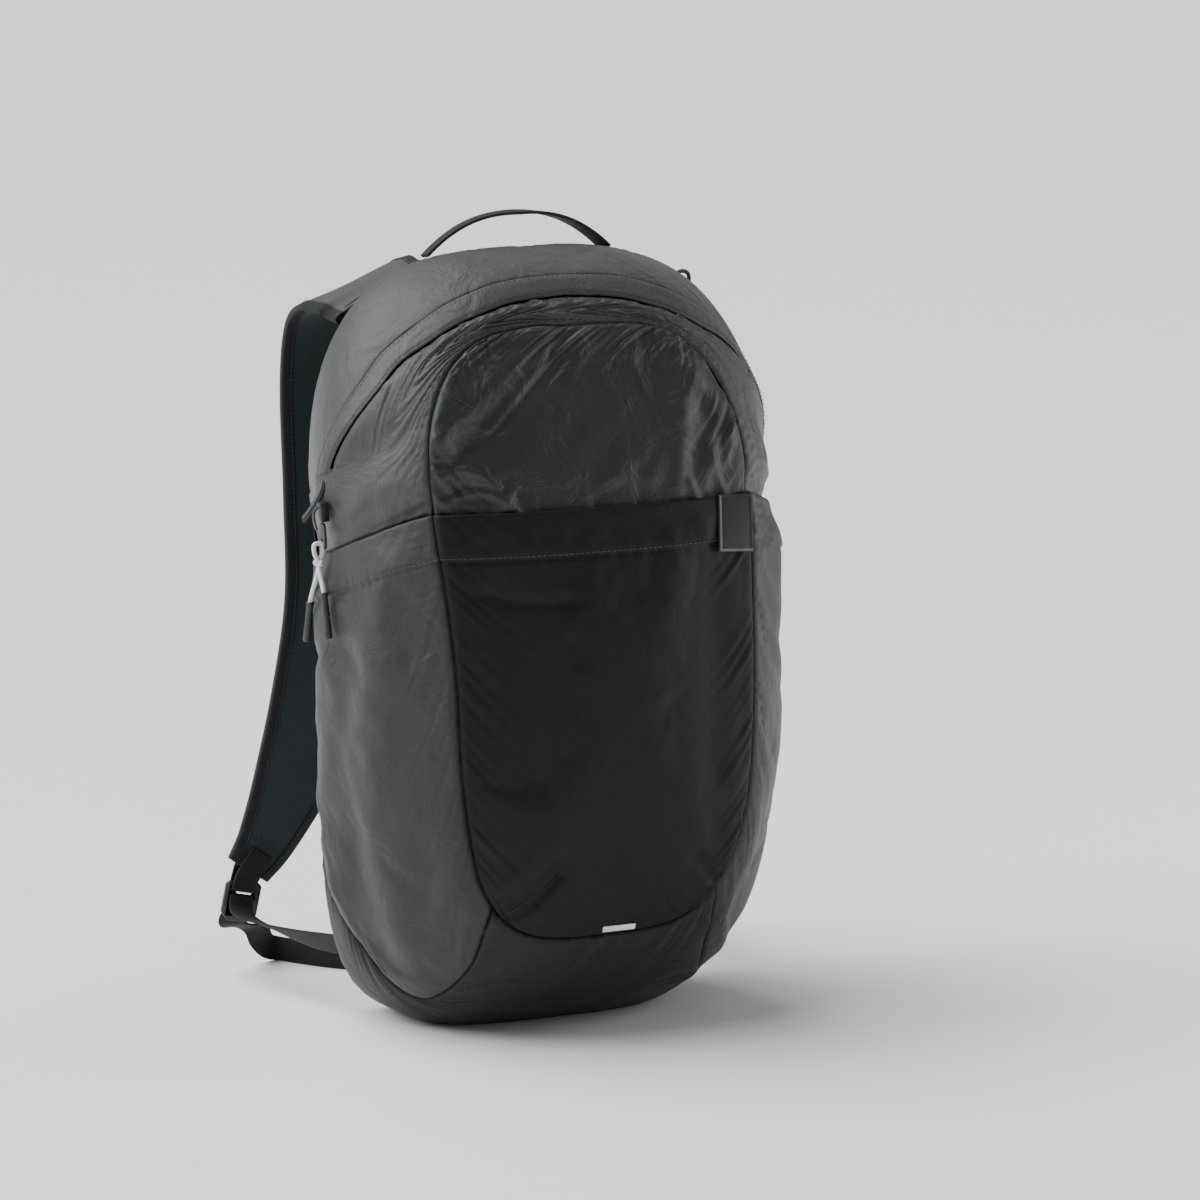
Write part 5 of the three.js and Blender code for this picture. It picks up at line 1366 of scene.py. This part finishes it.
def woven_patch(name, colour, second_tone):
    """Dense satin-woven patch: slanting threads, a soft shine and slightly rubbed spots."""
    values = {"Roughness": 0.5, "Sheen Weight": 0.05, "Specular IOR Level": 0.25}
    material, tree, place = surface(name, values)
    slants = {"Scale": 420, "Distortion": 0.6, "Detail": 1}
    threads = texture(tree, place, "Wave", slants, bands_direction="DIAGONAL")
    patch = texture(tree, place, "Noise", {"Scale": 90, "Detail": 5, "Roughness": 0.6})
    return dress(material, tint(tree, patch, colour, second_tone), relief(tree, threads, 0.5, 0.00012))


label_cloth = woven_patch("label_cloth", (0.0075, 0.0085, 0.0088), (0.014, 0.0155, 0.016))
thread_pale = sewing_thread("thread_pale", (0.3, 0.31, 0.31))
rounded_copy("label_patch_cloth", "label_patch", label_cloth, 0.3)
middle, across, up, out, (half_width, half_height, half_depth) = slab("label_patch")


def zigzag(start, end, side, step=1.5, width=1.7):
    count = max(2, int(np.linalg.norm(end - start) / step)) * 2
    t = np.linspace(0, 1, count + 1)[:, None]
    swing = np.where(np.arange(count + 1) % 2, 0.5, -0.5)[:, None]
    return start + (end - start) * t + side * width * swing


face = middle + (half_depth + 0.15) * out
LABEL_INSET = 1.4
inset_x, inset_z = half_width - LABEL_INSET, half_height - LABEL_INSET
corners = [
    face + x * inset_x * across + z * inset_z * up for x, z in ((-1, 1), (-1, -1), (1, -1), (1, 1))
]
lines = [zigzag(corners[i], corners[(i + 1) % 4], (across, up)[i % 2]) for i in range(4)]
zigzag_stitch = (0.55, 0.8, 0.36)
stitches("label_stitches", lines[:2], thread_pale, "label", *zigzag_stitch)
stitches("label_stitches_dark", lines[2:], thread_grey, "label", *zigzag_stitch)

# Reflective bar. A short strip of glass-bead film low on the stash pocket, pressed on with heat just
# above the bottom seam.


def bead_film(name):
    """Grey film packed with tiny glass beads, with a silvery shine."""
    material, tree, place = surface(name, {"Metallic": 0.35})
    beads = relief(tree, texture(tree, place, "Voronoi", {"Scale": 6000}, "Distance"), 0.4, 0.00005)
    rub = texture(tree, place, "Noise", {"Scale": 300, "Detail": 4})
    tone = tint(tree, rub, (0.62, 0.62, 0.63), (0.95, 0.95, 0.96))
    return dress(material, tone, beads, between(tree, rub, 0.3, 0.5))


film = bead_film("reflective_film")
rounded_copy("reflective_bar_film", "reflective_bar", film, 0.2)

# Zip end. The woven tape and its nylon coil come out from under the band at the left and bend away.
# A slider with a small tab hangs in front of it.
ZIP_TAPE_WIDTH = 6
ZIP_TAPE_LENGTH = 26
ZIP_TAPE_BEND = 20
SLIDER_LENGTH = 12
TAB_LENGTH = 16
TAB_WIDTH = 8
TAB_THICKNESS = 1.4
PULL_CORD_DIAMETER = 2.8
PULL_KNOT_DIAMETER = 8
TAPE_STEPS = 30
TAB_BESIDE_TAPE = 8.2


def beside_left(z, forward, rise):
    """Point on the left side at a height, a distance in front of the back seam and a rise."""
    depth = forward / depth_at(z)
    above = z > WAIST_HEIGHT
    end = float(read(OUTLINES, "top" if above else "bottom", depth)) * BAG_HEIGHT
    power = float(read(OUTLINES, "top_power" if above else "bottom_power", depth))
    w = (z - WAIST_HEIGHT) / abs(end - WAIST_HEIGHT)
    u = max(1 - abs(w) ** power, 0) ** (1 / power)
    angle = 180 - math.degrees(math.atan2(w, u))
    points, normals = cloth_surface(np.array([float(angle)]), np.array([float(depth)]))
    return points[0] + normals[0] * rise


band_start = cloth_surface(np.array([float(ZIP_END_ANGLE)]), np.array([0.0]))[0][0]
first_angle, first_depth = zip_angle(1), zip_edge_depth(1)
band_outer = cloth_surface(np.array([float(first_angle)]), np.array([float(first_depth)]))[0][0]
band_end = lerp(band_start, band_outer, (float(yoke_share(1)) + 1) / 2)
tape_forward = BACK_SEAM_Y - band_end[1]
tape_top = band_end[2] - ZIP_TAPE_WIDTH / 4 - 2
tape_path = [
    beside_left(tape_top - t * ZIP_TAPE_LENGTH, tape_forward - ZIP_TAPE_BEND * t**1.5, 0.55 + 6 * t**2)
    for t in np.linspace(0, 1, TAPE_STEPS + 1)
]
tape = follow(tape_path, lambda i: (0, 1, 0))
if np.mean(tape["out"][:, 0]) > 0:
    tape["out"] = -tape["out"]
    tape["across"] = -tape["across"]
zip_tape = webbing_cloth("zip_tape", (0.011, 0.012, 0.013), (0.02, 0.021, 0.023), 0.7)
sweep("zip_end_tape", tape, flat_section(ZIP_TAPE_WIDTH, 1.3), zip_tape, "zip_end")
swing = np.where(np.arange(2 * TAPE_STEPS + 1) % 2, 1.15, -1.15)
coil_at = np.linspace(0, TAPE_STEPS, 2 * TAPE_STEPS + 1)
coil = np.array(
    [
        lerp(tape["centre"][int(a)], tape["centre"][min(int(a) + 1, TAPE_STEPS)], a % 1)
        + s * tape["across"][int(a)]
        + 1.0 * tape["out"][int(a)]
        for a, s in zip(coil_at, swing)
    ]
)
coil_nylon = moulded("coil_nylon", (0.035, 0.037, 0.04), 0.3)
stitches("zip_end_teeth", [coil], coil_nylon, "plastic", 0.5, 0.75, 0.75)


def painted_metal(name, colour, roughness):
    """Cast metal under dark paint that has worn thin here and there."""
    material, tree, place = surface(name, {})
    worn = texture(tree, place, "Noise", {"Scale": 240, "Detail": 6, "Roughness": 0.65})
    share = between(tree, worn, start=0.5, end=0.75)
    tone = tint(tree, share, colour, tuple(4 * c + 0.02 for c in colour))
    rough = between(tree, worn, roughness, roughness + 0.2)
    bare = math_node(tree, "MULTIPLY", share, 0.7)
    return dress(material, tone, relief(tree, worn, 0.2, 0.00008), rough, bare)


dark_metal = painted_metal("dark_metal", (0.008, 0.008, 0.009), 0.34)
rounded_copy("zip_slider_body", "zip_slider", dark_metal, 0.8)
rounded_copy("pull_tab_plate", "pull_tab", dark_metal, 0.35)

slider_top = tape_top - SLIDER_LENGTH
beside_tape = ZIP_TAPE_BEND * (SLIDER_LENGTH / ZIP_TAPE_LENGTH) ** 1.5
hang_forward = tape_forward - beside_tape + TAB_BESIDE_TAPE
tab_rise = PULL_CORD_DIAMETER + 1.4
tab_top = slider_top - SLIDER_LENGTH - 0.9
hole_height = tab_top - TAB_LENGTH + TAB_WIDTH / 2
knot_height = hole_height - TAB_WIDTH / 2 - PULL_KNOT_DIAMETER


def hung(below, back, rise):
    return beside_left(knot_height - below, hang_forward - back, rise)


bridge_path = catmull(
    [
        beside_left(slider_top - 3, hang_forward, 5.2),
        beside_left(slider_top - 6, hang_forward, 7.4),
        beside_left(slider_top - SLIDER_LENGTH + 0.5, hang_forward, 7.3),
        beside_left(tab_top - 1.5, hang_forward, tab_rise + TAB_THICKNESS + 0.9),
        beside_left(tab_top - 3.5, hang_forward, tab_rise + TAB_THICKNESS + 0.3),
    ],
    24,
)
bridge = follow(bridge_path, lambda i: (0, 1, 0))
sweep("zip_slider_bridge", bridge, flat_section(3.2, 1.1), dark_metal)

# Pull cord. Round braided cord through the tab's hole, knotted below it; its two tails end in
# moulded sleeves.


def round_section(diameter, sides=14):
    turns = np.linspace(0, 2 * math.pi, sides + 1)[:-1]
    return diameter / 2 * np.stack([np.cos(turns), np.sin(turns)], axis=1)


def braided(name, colour, second_tone, girth):
    """Round braid: strands cross on a slant both ways, with a sheen on the fibres, a painted highlight on the
    strands and painted shade between them.
    """
    material, tree, place = surface(name, {"Roughness": 0.6, "Sheen Weight": 0.3})
    along, around = cloth_axes(tree)
    along = math_node(tree, "MULTIPLY", along, 2000 * math.pi / 1.5)
    around = math_node(tree, "MULTIPLY", around, 2000 * math.pi * 4 / girth)
    slants = [math_node(tree, "SINE", math_node(tree, way, along, around)) for way in ("ADD", "SUBTRACT")]
    strands = math_node(tree, "MAXIMUM", *slants)
    soil = texture(tree, place, "Noise", {"Scale": 150, "Detail": 4})
    # Colour: painted highlight on the raised strands and painted shade in the grooves between them, mixed
    # with random soil.
    share = math_node(tree, "MULTIPLY_ADD", strands, 0.4, soil)
    return dress(material, tint(tree, share, second_tone, colour), relief(tree, strands, 0.8, 0.00025))


pale_braid = braided("pale_braid", (0.86, 0.87, 0.86), (0.62, 0.63, 0.63), math.pi * PULL_CORD_DIAMETER)
sleeve_rubber = moulded("sleeve_rubber", (0.016, 0.017, 0.019), 0.5)
inside_rise = tab_rise - PULL_CORD_DIAMETER / 2 - 0.4
outside_rise = tab_rise + TAB_THICKNESS + PULL_CORD_DIAMETER / 2 + 0.4
middle_rise = tab_rise + TAB_THICKNESS / 2
hole_below = knot_height - hole_height
REAR_TAIL = (26.4, 19.8)
FRONT_TAIL = (16.3, -4.76)
KNOT_SIZE = 0.78
SLEEVE_HOLDS = 9

t = np.linspace(0, 2 * math.pi, 97)
lump = np.stack([np.sin(t) + 2 * np.sin(2 * t), np.cos(t) - 2 * np.cos(2 * t), -1.3 * np.sin(3 * t)], axis=1)
knot_path = hung(0, 0, middle_rise) + KNOT_SIZE * lump
knot_path = knot_path[:-1]
knot_frame = follow(knot_path, lambda i: (0.3, 0.2, 0.93))
knot = sweep("pull_cord_knot", knot_frame, round_section(2.6, 12), pale_braid)


def sleeve(name, start, toward, source):
    """A moulded sleeve on the end of a cord, with a rim at its mouth and three grip grooves."""
    along = unit(toward)
    runs = [0, 0.2, 0.9, 1.6, 2.2, 6, 6.5, 7, 7.5, 10, 10.5, 11, 11.5, 14, 14.5, 15, 15.5, 24, 27, 27.8, 28]
    sizes = [3.4, 4.4, 5, 5, 4.3, 4.4, 4.0, 4.0, 4.5, 4.5, 4.1, 4.1, 4.6, 4.6, 4.2, 4.2, 4.7, 5, 4.9, 4.2, 3]
    centres = np.array([start + along * r for r in runs])
    places = follow(centres, lambda i: (0, 1, 0))
    sections = np.array([round_section(s, 20) for s in sizes])
    return sweep(name, places, sections, sleeve_rubber, source)


pull_ends = {}
for name, (below, back), share in (("rear", REAR_TAIL, 0.2), ("front", FRONT_TAIL, 0.3)):
    end = hung(below, back, middle_rise)
    start_from = hung(PULL_KNOT_DIAMETER, back * share, middle_rise)
    hang = unit(lerp(unit(end - start_from), np.array((0, 0, -1.0)), 0.5))
    pull_ends[name] = (end, start_from, hang)

for name, lane, extra in (("rear", outside_rise, [knot]), ("front", inside_rise, [])):
    end, start_from, hang = pull_ends[name]
    ending = sleeve("cord_end_" + name + "_sleeve", end + hang, hang, "cord_end_" + name)
    route = catmull(
        [
            hung(hole_below, 0, middle_rise),
            hung(hole_below + 0.8, 0, lane),
            hung(-PULL_KNOT_DIAMETER * 0.7, 0, lane),
            hung(0, 0, middle_rise),
            start_from,
            end,
            end + SLEEVE_HOLDS * hang,
        ],
        84,
    )
    places = follow(route, lambda i: (0.1, 1, 0.1))
    cord = sweep(
        "pull_cord_" + name,
        places,
        round_section(PULL_CORD_DIAMETER),
        pale_braid,
        "pull_cord" if name == "rear" else (),
    )

# Gear loop. A short length of dark braided cord at the right shoulder, bent double. Both ends are sewn
# into the back seam.
GEAR_CORD_DIAMETER = 2.7
GEAR_LOOP_X = 107.9
gear_angle = angle_over(GEAR_LOOP_X, 0)
gear_base = base_point(gear_angle, 0)
gear_base[1] = BACK_SEAM_Y - 0.8
gear_along = unit(base_point(gear_angle - 2, 0) - base_point(gear_angle + 2, 0))
gear_along[1] = 0
gear_out = np.cross((0, 1, 0), gear_along)
gear_out = gear_out if gear_out[2] > 0 else -gear_out
GEAR_LOOP_WIDTH = 12
GEAR_LOOP_HEIGHT = 18
GEAR_HALF = ((-0.4, 0), (-0.45, 0.3), (-0.45, 0.65), (-0.3, 0.9))
gear_places = GEAR_HALF + ((0, 1),) + tuple((-a, b) for a, b in GEAR_HALF[::-1])
gear_points = [
    gear_base + GEAR_LOOP_WIDTH * a * gear_along + (0.6 + GEAR_LOOP_HEIGHT * b) * gear_out
    for a, b in gear_places
]
gear_path = catmull(gear_points, 72)
dark_braid = braided("dark_braid", (0.02, 0.021, 0.023), (0.01, 0.011, 0.012), math.pi * GEAR_CORD_DIAMETER)
sweep(
    "gear_loop_cord",
    follow(gear_path, lambda i: (0, 1, 0)),
    round_section(GEAR_CORD_DIAMETER),
    dark_braid,
    "gear_loop",
)

# Seam stitches. Lines of lockstitch along the hems, the zip band and the darts, and bar tacks where
# the hems meet the seams.


def facing(grid):
    """Outward directions of a grid of points, from its own rows and columns."""
    return unit(np.cross(np.gradient(grid, axis=0), np.gradient(grid, axis=1)))


def sewn_line(grid, rows, columns, lift):
    """Points over a grid at fractional rows and columns."""
    normals = facing(grid)
    if np.sum(normals * (grid - BAG_MIDDLE)) < 0:
        normals = -normals
    rows, columns = np.broadcast_arrays(np.asarray(rows, float), np.asarray(columns, float))
    r = np.clip(rows.astype(int), 0, grid.shape[0] - 2)
    c = np.clip(columns.astype(int), 0, grid.shape[1] - 2)
    fr, fc = (rows - r)[:, None], (columns - c)[:, None]
    raised = grid + lift * normals
    upper = lerp(raised[r, c], raised[r, c + 1], fc)
    return lerp(upper, lerp(raised[r + 1, c], raised[r + 1, c + 1], fc), fr)


def rows_at(grid, distance):
    """Row of each column at a distance below the grid's last row."""
    below = edge_lengths(grid)["upper"]
    return np.array([np.interp(-distance, -line, np.arange(len(line))) for line in below.T])


def hem_line(grid, distance, lift):
    return sewn_line(grid, rows_at(grid, distance)[1:-1], np.arange(1, grid.shape[1] - 1), lift)


hem_stitch = (3.4, 2.5, 0.5)
hem_seam = HEM_WIDTH - 0.6
front_hem = [hem_line(pocket_points, hem_seam, 0.62)]
stitches("front_hem_stitches", front_hem, thread_grey, "nylon_dark", *hem_stitch)
across_band = np.linspace(2, band_points.shape[0] - 3, 500)
last = band_points.shape[1] - 1
band_lines = [sewn_line(band_points, across_band, np.full(500, last * s), 0.5) for s in (0.14, 0.84)]
stitches("zip_band_stitches", band_lines, thread_grey, "nylon_grey", 3.2, 2.4, 0.45)
for hand, mouth in pocket_mouths.items():
    lines = [hem_line(mouth, hem_seam, 0.7)]
    row, column = rows_at(mouth, hem_seam)[3], 3.0
    spot = sewn_line(mouth, [row], [column], 0.75)[0]
    beside = unit(mouth[int(row), 6] - mouth[int(row), 2])
    upward = unit(mouth[int(row) + 3, 3] - mouth[int(row), 3])
    lines.append(tack(spot, upward, beside, 2.2, 9, 9))
    stitches("side_hem_stitches_" + hand, lines, thread_grey, "nylon_grey", *hem_stitch)


def over_front(grid, start, end, count=24):
    """Points over a front grid on a straight line between two places, given as x and z."""
    made = []
    for t in np.linspace(0, 1, count):
        x, z = lerp(start[0], end[0], t), lerp(start[1], end[1], t)
        nearest = np.argmin((grid[..., 0] - x) ** 2 + (grid[..., 2] - z) ** 2)
        made.append((x, grid.reshape(-1, 3)[nearest][1] - 0.75, z))
    return np.array(made)


UPPER_DART = ((-101, 407), (-80, 394))
LOWER_DART = ((-80, 79), (-37, 109))
dart_lines = [over_front(front_points, *UPPER_DART), over_front(pocket_points, *LOWER_DART)]
stitches("dart_stitches", dart_lines, thread_black, "nylon_dark", 2.9, 2.2, 0.6)

# Studio. A plain pale floor under a wide soft light from the left and above, a small one at each
# side, and the camera at the photograph's place.
FLOOR_RADIUS = 9

disc = bpy.data.meshes.new("studio_floor")
round_ = np.linspace(0, 2 * math.pi, 65)[:-1]
rim = [(FLOOR_RADIUS * math.cos(t), FLOOR_RADIUS * math.sin(t), 0) for t in round_]
disc.from_pydata(rim, [], [tuple(range(64))])
disc.materials.append(surface("floor_paper", {"Base Color": (0.9, 0.9, 0.9, 1), "Roughness": 0.9})[0])
placed("studio_floor", disc)


def look_at(thing, place, target):
    """Sets a camera or light at a place and turns it towards a target."""
    direction = Vector(target) - Vector(place)
    thing.location = place
    thing.rotation_euler = direction.to_track_quat("-Z", "Y").to_euler()


def softbox(name, place, size, power):
    data = bpy.data.lights.new(name, "AREA")
    data.shape = "RECTANGLE"
    data.size, data.size_y = size
    data.energy = power
    look_at(placed(name, data), place, (0, 0, 0.25))


SUN_FROM = (-0.52, 0.36, 0.9)
SUN_STRENGTH = 4.6
sun_data = bpy.data.lights.new("light_window", "SUN")
sun_data.energy = SUN_STRENGTH
sun_data.angle = math.radians(70)
look_at(placed("light_window", sun_data), SUN_FROM, (0, 0, 0))
softbox("light_left", (-2.0, 0.5, 1.3), (0.9, 1.2), 22)
softbox("light_right", (1.9, -0.5, 0.7), (0.5, 1.3), 12)

world = bpy.data.worlds.new("studio")
bpy.context.scene.world = world
world.use_nodes = True
tree = world.node_tree
seen = node(tree, "ShaderNodeLightPath")
around = tint(tree, seen.outputs["Is Camera Ray"], (0.26, 0.26, 0.265), (0.93, 0.93, 0.93))
tree.links.new(around, tree.nodes["Background"].inputs["Color"])

AZIMUTH = math.radians(-25)
ELEVATION = math.radians(10.5)
CAMERA_DISTANCE = 3.3
SHIFT_TO_RIGHT = 0.0235
camera_data = bpy.data.cameras.new("camera")
camera_data.sensor_width = 36
camera_data.lens = 162.66
camera = placed("camera", camera_data)
target = Vector((0, -0.033, 0.264)) + SHIFT_TO_RIGHT * Vector((math.cos(AZIMUTH), math.sin(AZIMUTH), 0))
back = Vector(
    (
        math.sin(AZIMUTH) * math.cos(ELEVATION),
        -math.cos(AZIMUTH) * math.cos(ELEVATION),
        math.sin(ELEVATION),
    )
)
look_at(camera, target + CAMERA_DISTANCE * back, target)
bpy.context.scene.camera = camera
